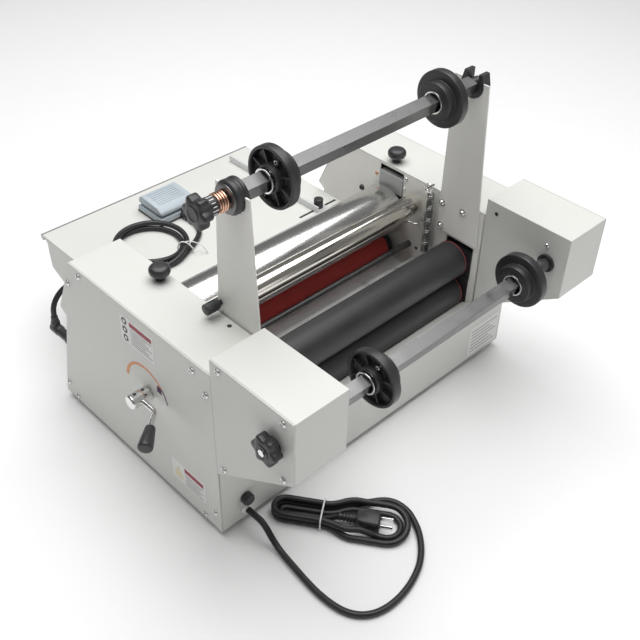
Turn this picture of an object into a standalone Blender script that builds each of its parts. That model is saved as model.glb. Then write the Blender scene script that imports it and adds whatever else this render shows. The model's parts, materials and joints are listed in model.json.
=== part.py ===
"""Desktop hot and cold roll laminator: two film shafts, five rollers, a pressure crank and a foot switch.

Metres, +Z up. Pieces are laid out in machine coordinates: X from the middle of the width, Y from the front
lower panel towards the feed table, Z from the bottom edge of the panels. stand_on_feet() then moves the root
empty, so that the whole machine stands on its feet, centred over the world's origin.
"""

import math

import bmesh
import bpy
from mathutils import Matrix, Vector

# Body
SHEET = 0.0012
GAP = 0.0003
INNER_X = 0.190
OUTER_X = 0.265
PANEL = 0.0015
CABINET_TOP = 0.2523
SIDE_OUTLINE = (
    (0.0, 0.0), (0.0035, CABINET_TOP), (0.272, CABINET_TOP), (0.292, 0.207),
    (0.312, 0.163), (0.2997, 0.154), (0.318, 0.084), (0.3376, 0.0),
)
BOX_OUTLINE = ((0.0011, 0.1043), (0.0031, 0.2530), (0.0031, 0.276), (-0.1246, 0.276), (-0.1246, 0.1885))
TABLE_TOP = 0.150
TABLE_REAR = 0.484
FOOT = 0.010

# Rollers: (Y, Z) of each axis, and radius
HEAT_AXIS, HEAT_RADIUS = (0.170, 0.186), 0.036
SILICONE_AXIS, SILICONE_RADIUS = (0.170, 0.1257), 0.024
GUIDE_AXIS, GUIDE_RADIUS = (0.115, 0.220), 0.0145
PULL_UPPER_AXIS, PULL_LOWER_AXIS, PULL_RADIUS = (0.043, 0.164), (0.043, 0.1121), 0.0258
ROLLER_END = 0.183
JOURNAL_END = 0.198

# Pressure shaft and crank
CRANK_AXIS = (0.125, 0.144)
SHAFT_RADIUS = 0.0046
GRIP_DIRECTION = Vector((-0.74, -0.67, -0.05)).normalized()
GRIP_START = Vector((-0.29753, 0.07813, 0.14302))
GRIP_LENGTH = 0.0325

# Film shafts
UPPER_AXIS = (0.049, 0.418)
LOWER_AXIS = (-0.097, 0.230)
BAR = 0.016
BAR_TURN = math.radians(15)
DISC_RADIUS = 0.035
UPPER_DISCS = (-0.134, 0.131)
LOWER_DISCS = (-0.1225, 0.137)

# Deck
DECK_KNOB = (0.203, 0.172)
LOCK_KNOB = (0.078, 0.266)
GUIDE_SLOT = (0.112, 0.186, 0.271)
GUIDE_X = 0.150
PEDAL = (-0.052, 0.012, 0.386, 0.443)
TREADLE_HINGE = (0.438, 0.1665)

# Cords
MAINS_RADIUS = 0.00405
PEDAL_CORD_RADIUS = 0.00375
FLOOR = -FOOT
ON_FLOOR = FLOOR + MAINS_RADIUS + 0.0002
ON_TABLE = TABLE_TOP + PEDAL_CORD_RADIUS + 0.0002
GLAND = (-0.2273, 0.015)
MAINS_ROUTE = (
    (-0.2273, -0.0210, 0.0150), (-0.2273, -0.0292, 0.0150), (-0.2276, -0.0380, 0.0105),
    (-0.2282, -0.0480, 0.0025), (-0.2292, -0.0610, -0.0040), (-0.2310, -0.0760, ON_FLOOR),
    (-0.2330, -0.0930, ON_FLOOR), (-0.2352, -0.1120, ON_FLOOR), (-0.2368, -0.1350, ON_FLOOR),
    (-0.2357, -0.1570, ON_FLOOR), (-0.2315, -0.1750, ON_FLOOR), (-0.2230, -0.1890, ON_FLOOR),
    (-0.2105, -0.1985, ON_FLOOR), (-0.1945, -0.2035, ON_FLOOR), (-0.1755, -0.2045, ON_FLOOR),
    (-0.1560, -0.2020, ON_FLOOR), (-0.1385, -0.1970, ON_FLOOR), (-0.1225, -0.1900, ON_FLOOR),
    (-0.1080, -0.1800, ON_FLOOR), (-0.0955, -0.1680, ON_FLOOR), (-0.0855, -0.1550, ON_FLOOR),
    (-0.0780, -0.1410, ON_FLOOR), (-0.0735, -0.1270, ON_FLOOR), (-0.0735, -0.1130, ON_FLOOR),
    (-0.0775, -0.1018, ON_FLOOR), (-0.0850, -0.0935, ON_FLOOR), (-0.0950, -0.0870, ON_FLOOR),
)
HANK_LEFT = Vector((-0.184, -0.023))
HANK_DIRECTION = Vector((0.585, -0.811)).normalized()
HANK_SPAN = 0.126
HANK_WAIST, HANK_LOOP = 0.0135, 0.0260
HANK_HEIGHT = 0.0163
HANK_HOLE_START = 0.060
COIL_CENTRE = (-0.098, 0.352)
COIL_INNER, COIL_OUTER, COIL_HEIGHT = 0.0409, 0.0566, 0.0079
PEDAL_ROUTE_A = (
    (-0.0140, 0.3855, 0.1560), (-0.0140, 0.3780, 0.1556), (-0.0140, 0.3670, 0.1546),
    (-0.0150, 0.3560, ON_TABLE), (-0.0180, 0.3450, ON_TABLE), (-0.0240, 0.3350, ON_TABLE),
    (-0.0320, 0.3275, ON_TABLE), (-0.0415, 0.3212, ON_TABLE), (-0.0478, 0.3176, ON_TABLE),
)
PEDAL_ROUTE_B = (
    (-0.1508, 0.3217, ON_TABLE), (-0.1590, 0.3263, ON_TABLE), (-0.1690, 0.3318, ON_TABLE),
    (-0.1800, 0.3375, ON_TABLE), (-0.1920, 0.3437, ON_TABLE + 0.0002), (-0.2040, 0.3500, 0.1538),
    (-0.2160, 0.3560, 0.1520), (-0.2270, 0.3607, 0.1475), (-0.2370, 0.3635, 0.1400),
    (-0.2460, 0.3640, 0.1300), (-0.2508, 0.3634, 0.1195), (-0.2520, 0.3630, 0.1088),
)

# Colour, roughness and metallic value of each finish
FINISHES = {
    "powder_coat": ((0.80, 0.81, 0.78), 0.45, 0.0),
    "powder_coat_shade": ((0.72, 0.73, 0.70), 0.45, 0.0),
    "zinc": ((0.60, 0.61, 0.62), 0.35, 1.0),
    "chrome": ((0.85, 0.85, 0.86), 0.08, 1.0),
    "bar_steel": ((0.62, 0.62, 0.63), 0.38, 1.0),
    "black_plastic": ((0.02, 0.02, 0.022), 0.35, 0.0),
    "black_rubber": ((0.05, 0.05, 0.05), 0.60, 0.0),
    "red_silicone": ((0.32, 0.05, 0.05), 0.50, 0.0),
    "clear_plastic": ((0.85, 0.87, 0.88), 0.20, 0.0),
    "pedal_plastic": ((0.50, 0.55, 0.60), 0.45, 0.0),
    "copper": ((0.72, 0.42, 0.28), 0.30, 1.0),
    "spring_steel": ((0.20, 0.20, 0.20), 0.40, 1.0),
    "cord": ((0.02, 0.02, 0.022), 0.50, 0.0),
}

# Local x, y, z of an outline, turned so that it is extruded along the named axis
EXTRUDE_AXES = {
    "X": Matrix(((0, 0, 1, 0), (1, 0, 0, 0), (0, 1, 0, 0), (0, 0, 0, 1))),
    "Z": Matrix.Identity(4),
}


def clear_scene():
    """Removes whatever the scene holds."""
    for obj in list(bpy.data.objects):
        bpy.data.objects.remove(obj, do_unlink=True)


def make_finish(name):
    """One Principled material."""
    colour, roughness, metallic = FINISHES[name]
    made = bpy.data.materials.new(name)
    made.use_nodes = True
    shader = made.node_tree.nodes["Principled BSDF"]
    shader.inputs["Base Color"].default_value = (*colour, 1.0)
    shader.inputs["Roughness"].default_value = roughness
    shader.inputs["Metallic"].default_value = metallic
    return made


clear_scene()
PARTS = bpy.data.collections.new("roll_laminator")
CUTTERS = bpy.data.collections.new("cutters")
bpy.context.scene.collection.children.link(PARTS)
bpy.context.scene.collection.children.link(CUTTERS)
ROOT = bpy.data.objects.new("laminator_root", None)
PARTS.objects.link(ROOT)
MATERIALS = {name: make_finish(name) for name in FINISHES}


# Building blocks


def keep(obj, finish):
    """Makes an object a piece of the machine, with its finish."""
    PARTS.objects.link(obj)
    obj.parent = ROOT
    obj.data.materials.clear()
    obj.data.materials.append(MATERIALS[finish])
    return obj


def tool(obj):
    """Makes an object a cutter or an addition, which only a Boolean reads."""
    CUTTERS.objects.link(obj)
    obj.parent = ROOT
    obj.hide_render = True
    obj.display_type = "WIRE"
    return obj


def boolean(obj, operation, others):
    """Cuts others from obj, or joins them to it."""
    for other in others:
        modifier = obj.modifiers.new(f"{operation.lower()}_{other.name}", "BOOLEAN")
        modifier.operation = operation
        modifier.solver = "EXACT"
        modifier.object = tool(other)
    return obj


def move_origin(obj, point):
    """Puts a mesh object's origin on its joint's axis, and leaves its shape where it is."""
    obj.data.transform(Matrix.Translation(-Vector(point)))
    obj.location = point
    return obj


def mesh_object(name, shape):
    """An object from a bmesh, with its faces turned outwards."""
    bmesh.ops.recalc_face_normals(shape, faces=shape.faces)
    mesh = bpy.data.meshes.new(name)
    shape.to_mesh(mesh)
    shape.free()
    return bpy.data.objects.new(name, mesh)


def box(name, low, high, bevel=0.0):
    """A block between two corners."""
    low, high = Vector(low), Vector(high)
    size = Matrix.Diagonal((*(high - low), 1.0))
    shape = bmesh.new()
    bmesh.ops.create_cube(shape, size=1.0, matrix=Matrix.Translation((low + high) / 2) @ size)
    obj = mesh_object(name, shape)
    if bevel:
        modifier = obj.modifiers.new("edges", "BEVEL")
        modifier.width = bevel
        modifier.segments = 2
    return obj


def prism(name, outline, span, axis="X", holes=()):
    """A flat outline with holes, extruded over a span of one axis."""
    low, high = sorted(span)
    curve = bpy.data.curves.new(name, "CURVE")
    curve.dimensions = "2D"
    curve.fill_mode = "BOTH"
    curve.extrude = (high - low) / 2
    for points in (outline, *holes):
        spline = curve.splines.new("POLY")
        spline.points.add(len(points) - 1)
        for knot, (x, y) in zip(spline.points, points):
            knot.co = (x, y, 0.0, 1.0)
        spline.use_cyclic_u = True
    drawn = bpy.data.objects.new(name + "_outline", curve)
    CUTTERS.objects.link(drawn)
    middle = (low + high) / 2
    along = Matrix.Translation((0, 0, middle))
    mesh = bpy.data.meshes.new_from_object(drawn.evaluated_get(bpy.context.evaluated_depsgraph_get()))
    shape = bmesh.new()
    shape.from_mesh(mesh)
    bpy.data.meshes.remove(mesh)
    bpy.data.objects.remove(drawn)
    bmesh.ops.remove_doubles(shape, verts=shape.verts, dist=1e-6)
    bmesh.ops.transform(shape, matrix=EXTRUDE_AXES[axis] @ along, verts=shape.verts)
    return mesh_object(name, shape)


def turned(name, profile, at, direction, closed=False, steps=32):
    """A profile of (radius, distance) points turned about a direction through a point."""
    following = list(zip(profile, profile[1:] + profile[:1]))
    if sum(a[0] * b[1] - b[0] * a[1] for a, b in following) > 0:
        profile = profile[::-1]
    count = len(profile)
    mesh = bpy.data.meshes.new(name)
    edges = [(i, (i + 1) % count) for i in range(count if closed else count - 1)]
    mesh.from_pydata([(radius, 0, distance) for radius, distance in profile], edges, [])
    obj = bpy.data.objects.new(name, mesh)
    screw = obj.modifiers.new("turn", "SCREW")
    screw.steps = screw.render_steps = steps
    screw.use_merge_vertices = True
    screw.merge_threshold = 1e-5
    obj.location = at
    obj.rotation_mode = "QUATERNION"
    obj.rotation_quaternion = Vector((0, 0, 1)).rotation_difference(Vector(direction))
    return obj


def rod(name, radius, start, end, steps=24):
    """A plain round bar between two points."""
    start, end = Vector(start), Vector(end)
    length = (end - start).length
    return turned(name, [(0, length), (radius, length), (radius, 0), (0, 0)], start, end - start, steps=steps)


def wire(name, points, radius, resolution=2):
    """A round wire or tube through points, with closed ends."""
    curve = bpy.data.curves.new(name, "CURVE")
    curve.dimensions = "3D"
    curve.bevel_depth = radius
    curve.bevel_resolution = resolution
    curve.use_fill_caps = True
    spline = curve.splines.new("POLY")
    spline.points.add(len(points) - 1)
    for knot, point in zip(spline.points, points):
        knot.co = (*point, 1.0)
    return bpy.data.objects.new(name, curve)


def smooth(points, spacing):
    """Points at an even spacing on a smooth curve through the given ones."""
    points = [Vector(point) for point in points]
    ends = [2 * points[0] - points[1], *points, 2 * points[-1] - points[-2]]
    fine = []
    for before, a, b, after in zip(ends, ends[1:], ends[2:], ends[3:]):
        for step in range(16):
            t = step / 16
            fine.append(0.5 * (2 * a + (b - before) * t + (2 * before - 5 * a + 4 * b - after) * t * t
                               + (3 * a - before - 3 * b + after) * t ** 3))
    fine.append(points[-1])
    lengths = [0.0]
    for a, b in zip(fine, fine[1:]):
        lengths.append(lengths[-1] + (b - a).length)
    count = round(lengths[-1] / spacing)
    found = []
    at = 0
    for step in range(count + 1):
        wanted = lengths[-1] * step / count
        while at < len(fine) - 2 and lengths[at + 1] < wanted:
            at += 1
        share = (wanted - lengths[at]) / (lengths[at + 1] - lengths[at])
        found.append(fine[at].lerp(fine[at + 1], min(share, 1.0)))
    return found


def arc(centre, radius, start, end, count):
    """Points on an arc, with its angles in degrees."""
    angles = [math.radians(start + (end - start) * i / (count - 1)) for i in range(count)]
    return [(centre[0] + radius * math.cos(a), centre[1] + radius * math.sin(a)) for a in angles]


def circle(centre, radius, count=24):
    """A closed round outline."""
    return arc(centre, radius, 0, 360, count + 1)[:-1]


def square(centre, side, turn=BAR_TURN):
    """A closed square outline, turned about its middle."""
    corners = [turn + math.radians(45 + 90 * i) for i in range(4)]
    half = side / math.sqrt(2)
    return [(centre[0] + half * math.cos(a), centre[1] + half * math.sin(a)) for a in corners]


def lobed(centre, radius, depth, lobes=6, count=48):
    """A closed star-knob outline with round lobes."""
    angles = [2 * math.pi * i / count for i in range(count)]
    reach = [radius - depth * (0.5 - 0.5 * math.cos(lobes * a)) for a in angles]
    return [(centre[0] + r * math.cos(a), centre[1] + r * math.sin(a)) for r, a in zip(reach, angles)]


def offset(points, distance, closed=True):
    """An outline or open line moved sideways to its right, with mitred corners."""
    count = len(points)
    moved = []
    for i in range(count):
        here = Vector(points[i])
        before = Vector(points[i - 1]) if closed or i else None
        after = Vector(points[(i + 1) % count]) if closed or i < count - 1 else None
        sides = [(here - before).normalized()] if before else []
        sides += [(after - here).normalized()] if after else []
        normals = [Vector((side.y, -side.x)) for side in sides]
        mean = sum(normals, Vector((0, 0))).normalized()
        moved.append(tuple(here + mean * distance / mean.dot(normals[0])))
    return moved


def folded(name, line, thickness, span, axis="X"):
    """A folded sheet: an open line given a thickness to its right, and a width."""
    return prism(name, list(line) + offset(line, thickness, closed=False)[::-1], span, axis)


def spun_x(name, profile, x, axis, outward=1, closed=False, steps=32):
    """A turned piece about an X axis through (Y, Z), its distances running outward."""
    return turned(name, profile, (x, *axis), (outward, 0, 0), closed, steps)


# Body


def chassis_pan():
    """Floor, front panel with its sloped lip, and feed-side upstand, folded from one sheet."""
    line = ((0.0, 0.1037), (0.0, 0.0), (0.330, 0.0))
    pan = prism("chassis_pan", list(line) + offset(line, -SHEET, closed=False)[::-1],
                (-OUTER_X + PANEL + GAP, OUTER_X - PANEL - GAP))
    lip = ((0.0, 0.100), (0.0, 0.105), (0.007, 0.105), (0.019, 0.0998), (0.0185, 0.0987), (0.0067, 0.1037),
           (SHEET, 0.1037), (SHEET, 0.100))
    upstand = ((0.3288, 0.0003), (0.3300, 0.0003), (0.3300, 0.025), (0.3288, 0.025))
    between_walls = (-INNER_X + GAP, INNER_X - GAP)
    boolean(pan, "UNION", [prism("lip", lip, between_walls), prism("upstand", upstand, between_walls)])
    fuse_hole = rod("fuse_hole", 0.0063, (GLAND[0], -0.01, 0.0353), (GLAND[0], 0.01, 0.0353))
    gland_hole = rod("gland_hole", 0.0053, (GLAND[0], -0.01, GLAND[1]), (GLAND[0], 0.01, GLAND[1]))
    boolean(pan, "DIFFERENCE", [fuse_hole, gland_hole])
    keep(pan, "powder_coat_shade")


def side_pieces(side, word):
    """Wall, outer panel, cabinet cover, front box and its cover on one side of the machine."""
    cover_line = [(SIDE_OUTLINE[1][0], 0.1065), *SIDE_OUTLINE[1:-1], (0.3372, PANEL)]
    cover_in = INNER_X + GAP / 3
    cover = folded(f"cabinet_cover_{word}", cover_line, SHEET, (side * cover_in, side * (OUTER_X - PANEL - GAP)))
    stem_hole = rod(f"stem_hole_{word}", 0.0038, (side * DECK_KNOB[0], DECK_KNOB[1], 0.24),
                    (side * DECK_KNOB[0], DECK_KNOB[1], 0.26))
    keep(boolean(cover, "DIFFERENCE", [stem_hole]), "powder_coat")

    inside = offset([(SIDE_OUTLINE[1][0], 0.0), *SIDE_OUTLINE[1:]], SHEET + GAP)
    holes = [
        ((0.145, 0.158), (0.189, 0.158), (0.189, 0.248), (0.145, 0.248)),
        ((0.014, 0.138), (0.060, 0.138), (0.060, 0.192), (0.014, 0.192)),
        circle(SILICONE_AXIS, 0.0063), circle(PULL_LOWER_AXIS, 0.0063), circle(GUIDE_AXIS, 0.0043),
        circle(CRANK_AXIS, SHAFT_RADIUS + GAP),
    ]
    wall = prism(f"side_wall_{word}", inside, (side * INNER_X, side * (INNER_X + PANEL)), holes=holes)
    keep(wall, "powder_coat_shade")

    shaft_hole = [circle(CRANK_AXIS, 0.0055)] if side < 0 else []
    panel = prism(f"side_panel_{word}", SIDE_OUTLINE, (side * (OUTER_X - PANEL), side * OUTER_X), holes=shaft_hole)
    keep(panel, "powder_coat")

    shell = prism(f"front_box_{word}", BOX_OUTLINE, (side * INNER_X, side * (OUTER_X - PANEL - GAP)))
    hollow = prism(f"box_hollow_{word}", offset(BOX_OUTLINE, -SHEET), (side * (INNER_X + SHEET), side * 0.28))
    bore = 0.0083 if side < 0 else 0.0063
    film_hole = rod(f"film_hole_{word}", bore, (side * 0.18, *LOWER_AXIS), (side * 0.20, *LOWER_AXIS))
    keep(boolean(shell, "DIFFERENCE", [hollow, film_hole]), "powder_coat")
    knob_hole = [circle(LOWER_AXIS, 0.0083)] if side < 0 else []
    lid = prism(f"front_box_cover_{word}", BOX_OUTLINE, (side * (OUTER_X - PANEL), side * OUTER_X), holes=knob_hole)
    keep(lid, "powder_coat")


def feed_table():
    """Feed table with a rolled rear hem, side gussets and a slot for the paper guide."""
    half = INNER_X - GAP
    hem = arc((TABLE_REAR - 0.001, TABLE_TOP - 0.004), 0.004, 90, -150, 9)
    sheet = [(0.212, TABLE_TOP - SHEET), (0.212, TABLE_TOP), *hem, (TABLE_REAR - 0.0055, TABLE_TOP - SHEET)]
    table = prism("feed_table", sheet, (-half, half))
    gusset = ((0.225, TABLE_TOP - 0.0006), (0.480, TABLE_TOP - 0.0006), (0.471, 0.141), (0.471, 0.124),
              (0.469, 0.101), (0.444, 0.089), (0.300, 0.060), (0.225, 0.136))
    boolean(table, "UNION", [prism(f"gusset_{word}", gusset, (side * (half - PANEL), side * half))
                             for side, word in ((-1, "left"), (1, "right"))])
    x_low, x_high, y = GUIDE_SLOT
    slot = box("guide_slot", (x_low, y - 0.002, TABLE_TOP - 0.01), (x_high, y + 0.002, TABLE_TOP + 0.01))
    keep(boolean(table, "DIFFERENCE", [slot]), "powder_coat")


def shaft_brackets():
    """The two tall plates that carry the upper film shaft, and the right one's saddle."""
    foot, top = 0.197, 0.424
    for side, word, notch in ((-1, "left", 0.0193), (1, "right", 0.0173)):
        rise = math.degrees(math.asin((top - UPPER_AXIS[1]) / notch))
        throat = arc(UPPER_AXIS, notch, rise, -180 - rise, 17)
        heel = 0.0855 if side < 0 else 0.0765
        outline = [(0.008, foot), (0.024, top), *throat[::-1], (0.0765, top), (heel, foot)]
        holes = [circle(LOCK_KNOB, 0.0033)] if side < 0 else []
        plate = prism(f"shaft_bracket_{word}", outline, (side * 0.1865, side * 0.1885), holes=holes)
        keep(plate, "powder_coat_shade")
    cup = arc(UPPER_AXIS, 0.017, 20, -200, 19)
    cradle = arc(UPPER_AXIS, 0.0084, 0, -180, 13)
    outline = [*cup, (0.0355, 0.434), (0.0406, 0.434), *cradle[::-1], (0.0574, 0.434), (0.0625, 0.434)]
    keep(prism("shaft_saddle_right", outline, (0.1860, 0.2000)), "black_plastic")


def small_body_pieces():
    """Web guide plate, feet, fuse cap, cord gland and the control strip with its rocker switch."""
    plate = ((-0.168, 0.076), (0.168, 0.076), (0.168, 0.100), (0.1897, 0.100), (0.1897, 0.116), (0.168, 0.116),
             (0.168, 0.140), (-0.168, 0.140), (-0.168, 0.116), (-0.1897, 0.116), (-0.1897, 0.100), (-0.168, 0.100))
    keep(prism("guide_plate", plate, (0.1238, 0.1250), "Z"), "zinc")
    for word, y in (("front", 0.020), ("rear", 0.290)):
        keep(box(f"foot_bar_{word}", (-0.235, y, FLOOR), (0.235, y + 0.025, -GAP), 0.001), "black_rubber")
    fuse = [(0, 0.0095), (0.0060, 0.0095), (0.0082, 0.0075), (0.0082, GAP), (0.0060, GAP), (0.0060, -0.022),
            (0, -0.022)]
    keep(turned("fuse_cap", fuse, (GLAND[0], 0, 0.0353), (0, -1, 0)), "black_plastic")
    gland = [(0, 0.020), (0.0052, 0.020), (0.0062, 0.012), (0.0072, 0.008), (0.0072, GAP), (0.0050, GAP),
             (0.0050, -0.012), (0, -0.012)]
    keep(turned("cord_gland", gland, (GLAND[0], 0, GLAND[1]), (0, -1, 0)), "black_plastic")

    top, knee = Vector(SIDE_OUTLINE[2]), Vector(SIDE_OUTLINE[3])
    down = (knee - top).normalized()
    out = Vector((-down.y, down.x))
    low_left, low_right = top + down * 0.005 + out * GAP, knee - down * 0.005 + out * GAP
    strip = [low_left, low_right, low_right + out * 0.002, low_left + out * 0.002]
    keep(prism("control_panel", [tuple(p) for p in strip], (0.196, 0.258)), "black_plastic")

    foot = Vector(SIDE_OUTLINE[4])
    down = (foot - knee).normalized()
    out = Vector((-down.y, down.x))
    middle = (knee + foot) / 2
    rocker = [middle - down * 0.009 + out * 0.0016, middle + down * 0.009 + out * 0.0016,
              middle + down * 0.009 + out * 0.0045, middle + out * 0.0034, middle - down * 0.009 + out * 0.0058]
    switch = prism("power_rocker", [tuple(p) for p in rocker], (0.220, 0.233))
    keep(move_origin(switch, (0.2265, *(middle + out * 0.0016))), "black_plastic")


# Rollers and their bearings


def roller(name, radius, axis, journal, finish, face=ROLLER_END, end=JOURNAL_END, collar=0.0):
    """A roller with a journal at each end, and a narrower collar where its cover stops short."""
    half = [(radius, face), (radius, 0)]
    if collar:
        half = [(collar, ROLLER_END), (collar, face), *half]
    profile = [(0, end), (journal, end), (journal, half[0][1]), *half]
    mirrored = [(r, -z) for r, z in profile[-2::-1]]
    keep(spun_x(name, profile[:-1] + mirrored, 0.0, axis), finish)


def rollers():
    """Heated, silicone, guide and pull rollers, and the blocks that the lifting ones run in."""
    wall, bore, plug = 0.0035, 0.0050, 0.004
    tube = [(0.008, 0.204), (0.008, ROLLER_END), (HEAT_RADIUS, ROLLER_END)]
    tube += [(radius, -x) for radius, x in tube[::-1]]
    hollow = [(bore, 0.204), (bore, ROLLER_END - plug), (HEAT_RADIUS - wall, ROLLER_END - plug)]
    tube += [(radius, -x) for radius, x in hollow] + hollow[::-1]
    keep(spun_x("heat_roller", tube, 0.0, HEAT_AXIS, closed=True), "chrome")
    roller("silicone_roller", SILICONE_RADIUS, SILICONE_AXIS, 0.006, "red_silicone", face=0.172, collar=0.0215)
    roller("guide_roller", GUIDE_RADIUS, GUIDE_AXIS, 0.004, "chrome", face=0.181)
    roller("pull_roller_upper", PULL_RADIUS, PULL_UPPER_AXIS, 0.006, "black_rubber")
    roller("pull_roller_lower", PULL_RADIUS, PULL_LOWER_AXIS, 0.006, "black_rubber")
    blocks = (
        ("lift_block", 0.1455, 0.1885, 0.162, 0.238, HEAT_AXIS, 0.0083, "zinc"),
        ("pull_block", 0.0143, 0.0597, 0.146, 0.184, PULL_UPPER_AXIS, 0.0063, "black_plastic"),
    )
    for side, word in ((-1, "left"), (1, "right")):
        for name, y_low, y_high, z_low, z_high, axis, bore, finish in blocks:
            outline = ((y_low, z_low), (y_high, z_low), (y_high, z_high), (y_low, z_high))
            block = prism(f"{name}_{word}", outline, (side * 0.1885, side * 0.1990), holes=[circle(axis, bore)])
            keep(block, finish)
    barrel = [(0, 0.066), (0.029, 0.066), (0.030, 0.064), (0.030, 0.014), (0.036, 0.013), (0.036, 0.0023), (0, 0.0023)]
    keep(spun_x("drive_motor", barrel, INNER_X, (0.095, 0.060)), "zinc")
    spring = [(0, 0.094), (0.0055, 0.093), (0.0055, 0.001), (0, 0)]
    keep(turned("lift_spring_right", spring, (0.180, 0.088, 0.1535), (0, 0, 1), steps=16), "spring_steel")


# Pressure shaft and crank


def pressure_shaft():
    """The cross shaft with a lifting cam in each cabinet."""
    shaft = rod("pressure_shaft", SHAFT_RADIUS, (-OUTER_X - 0.0005, *CRANK_AXIS), (0.208, *CRANK_AXIS))
    nose = arc((CRANK_AXIS[0], CRANK_AXIS[1] + 0.007), 0.006, 10, 170, 9)
    heel = arc(CRANK_AXIS, 0.009, 190, 350, 11)
    cams = [prism(f"cam_{word}", nose + heel, (side * 0.2015, side * 0.2065))
            for side, word in ((-1, "left"), (1, "right"))]
    keep(boolean(shaft, "UNION", cams), "bar_steel")


def crank():
    """Hub, bent rod and freely turning grip."""
    x_hub = -OUTER_X - 0.0008
    hub = [(0, 0.0275), (0.0084, 0.0275), (0.0094, 0.0265), (0.0094, 0.001), (0.0084, 0), (0, 0)]
    arm = spun_x("crank_arm", hub, x_hub, CRANK_AXIS, outward=-1, steps=32)
    bend = [Vector((-0.2795, 0.1200, 0.1440)), Vector((-0.2795, 0.1050, 0.1440)), Vector((-0.2795, 0.0975, 0.1439)),
            Vector((-0.2818, 0.0925, 0.1438)), Vector((-0.2905, 0.0845, 0.1435)), GRIP_START,
            GRIP_START + GRIP_DIRECTION * 0.0275]
    bar = wire("crank_bar", smooth(bend, 0.006), 0.0033, 3)
    CUTTERS.objects.link(bar)
    mesh = bpy.data.meshes.new_from_object(bar.evaluated_get(bpy.context.evaluated_depsgraph_get()))
    bpy.data.objects.remove(bar)
    shape = bmesh.new()
    shape.from_mesh(mesh)
    bmesh.ops.remove_doubles(shape, verts=shape.verts, dist=1e-6)
    keep(boolean(arm, "UNION", [mesh_object("crank_bar", shape)]), "chrome")
    grip = [(0, GRIP_LENGTH), (0.0078, GRIP_LENGTH), (0.0090, GRIP_LENGTH - 0.002), (0.0086, 0.022), (0.0072, 0.010),
            (0.0062, 0.001), (0.0055, 0), (0.0042, 0), (0.0042, 0.0290), (0, 0.0290)]
    keep(turned("crank_grip", grip, GRIP_START, GRIP_DIRECTION, steps=24), "black_plastic")


# Film shafts


def film_disc(name, x, axis, outward):
    """A core disc: flange, stepped plug, hollow back and a hub with a square bore."""
    profile = [(0, 0.014), (0.0140, 0.014), (0.0140, -0.0015), (0.0310, -0.0015), (0.0310, 0.0055),
               (DISC_RADIUS, 0.0055), (DISC_RADIUS, -0.0055), (0.0240, -0.0055), (0.0240, -0.0165),
               (0, -0.0165)]
    disc = spun_x(name, profile, x, axis, outward)
    bore = prism(name + "_bore", square(axis, BAR + 2 * GAP), (x - 0.03, x + 0.03))
    keep(boolean(disc, "DIFFERENCE", [bore]), "black_plastic")


def star_knob(name, axis, x, outward, collar):
    """A six-lobed knob on a round collar, its thickness running outward."""
    knob = spun_x(name, [(0, collar + 0.002), (0.0105, collar + 0.002), (0.0105, 0), (0, 0)], x, axis, outward)
    head = prism(name + "_head", lobed(axis, 0.0185, 0.0035), (x + outward * collar, x + outward * (collar + 0.013)))
    keep(boolean(knob, "UNION", [head]), "black_plastic")


def upper_film_shaft():
    """Square bar with a round neck for its brake knob, its discs, bush, spring and knob."""
    bar = prism("upper_film_shaft", square(UPPER_AXIS, BAR), (-0.1810, 0.1840))
    neck = rod("upper_neck", 0.0060, (-0.2125, *UPPER_AXIS), (-0.1700, *UPPER_AXIS))
    stub = rod("upper_stub", 0.0080, (0.1700, *UPPER_AXIS), (0.1975, *UPPER_AXIS))
    keep(move_origin(boolean(bar, "UNION", [neck, stub]), (0.0, *UPPER_AXIS)), "bar_steel")
    for word, x, outward in (("left", UPPER_DISCS[0], -1), ("right", UPPER_DISCS[1], 1)):
        film_disc(f"upper_disc_{word}", x, UPPER_AXIS, outward)
    bush = [(0.0063, 0.0185), (0.0170, 0.0185), (0.0170, 0.0160), (0.0190, 0.0145), (0.0190, 0.0), (0.0130, 0.0),
            (0.0063, 0.0)]
    keep(spun_x("brake_bush", bush, -0.1815, UPPER_AXIS, -1, closed=True), "black_plastic")
    turns, length, mean = 3.5, 0.0105, 0.0098
    count = round(turns * 12)
    coil = [(-0.2015 - length * i / count, UPPER_AXIS[0] + mean * math.cos(2 * math.pi * i / 12),
             UPPER_AXIS[1] + mean * math.sin(2 * math.pi * i / 12)) for i in range(count + 1)]
    keep(wire("tension_spring", coil, 0.0011, 1), "copper")
    star_knob("upper_star_knob", UPPER_AXIS, -0.2135, -1, 0.0125)


def lower_film_shaft():
    """Square bar with a plain sleeve at the right, its discs and its star knob on the left box."""
    bar = prism("lower_film_shaft", square(LOWER_AXIS, BAR), (-0.1860, 0.1620))
    left = rod("lower_left_neck", 0.0080, (-0.2655, *LOWER_AXIS), (-0.1700, *LOWER_AXIS))
    sleeve = rod("lower_sleeve", 0.0085, (0.1570, *LOWER_AXIS), (0.1890, *LOWER_AXIS))
    pin = rod("lower_pin", 0.0060, (0.1800, *LOWER_AXIS), (0.2000, *LOWER_AXIS))
    keep(move_origin(boolean(bar, "UNION", [left, sleeve, pin]), (0.0, *LOWER_AXIS)), "bar_steel")
    for word, x, outward in (("left", LOWER_DISCS[0], -1), ("right", LOWER_DISCS[1], 1)):
        film_disc(f"lower_disc_{word}", x, LOWER_AXIS, outward)
    star_knob("lower_star_knob", LOWER_AXIS, -0.2658, -1, 0.003)


# Deck knobs, paper guide and foot switch


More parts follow.
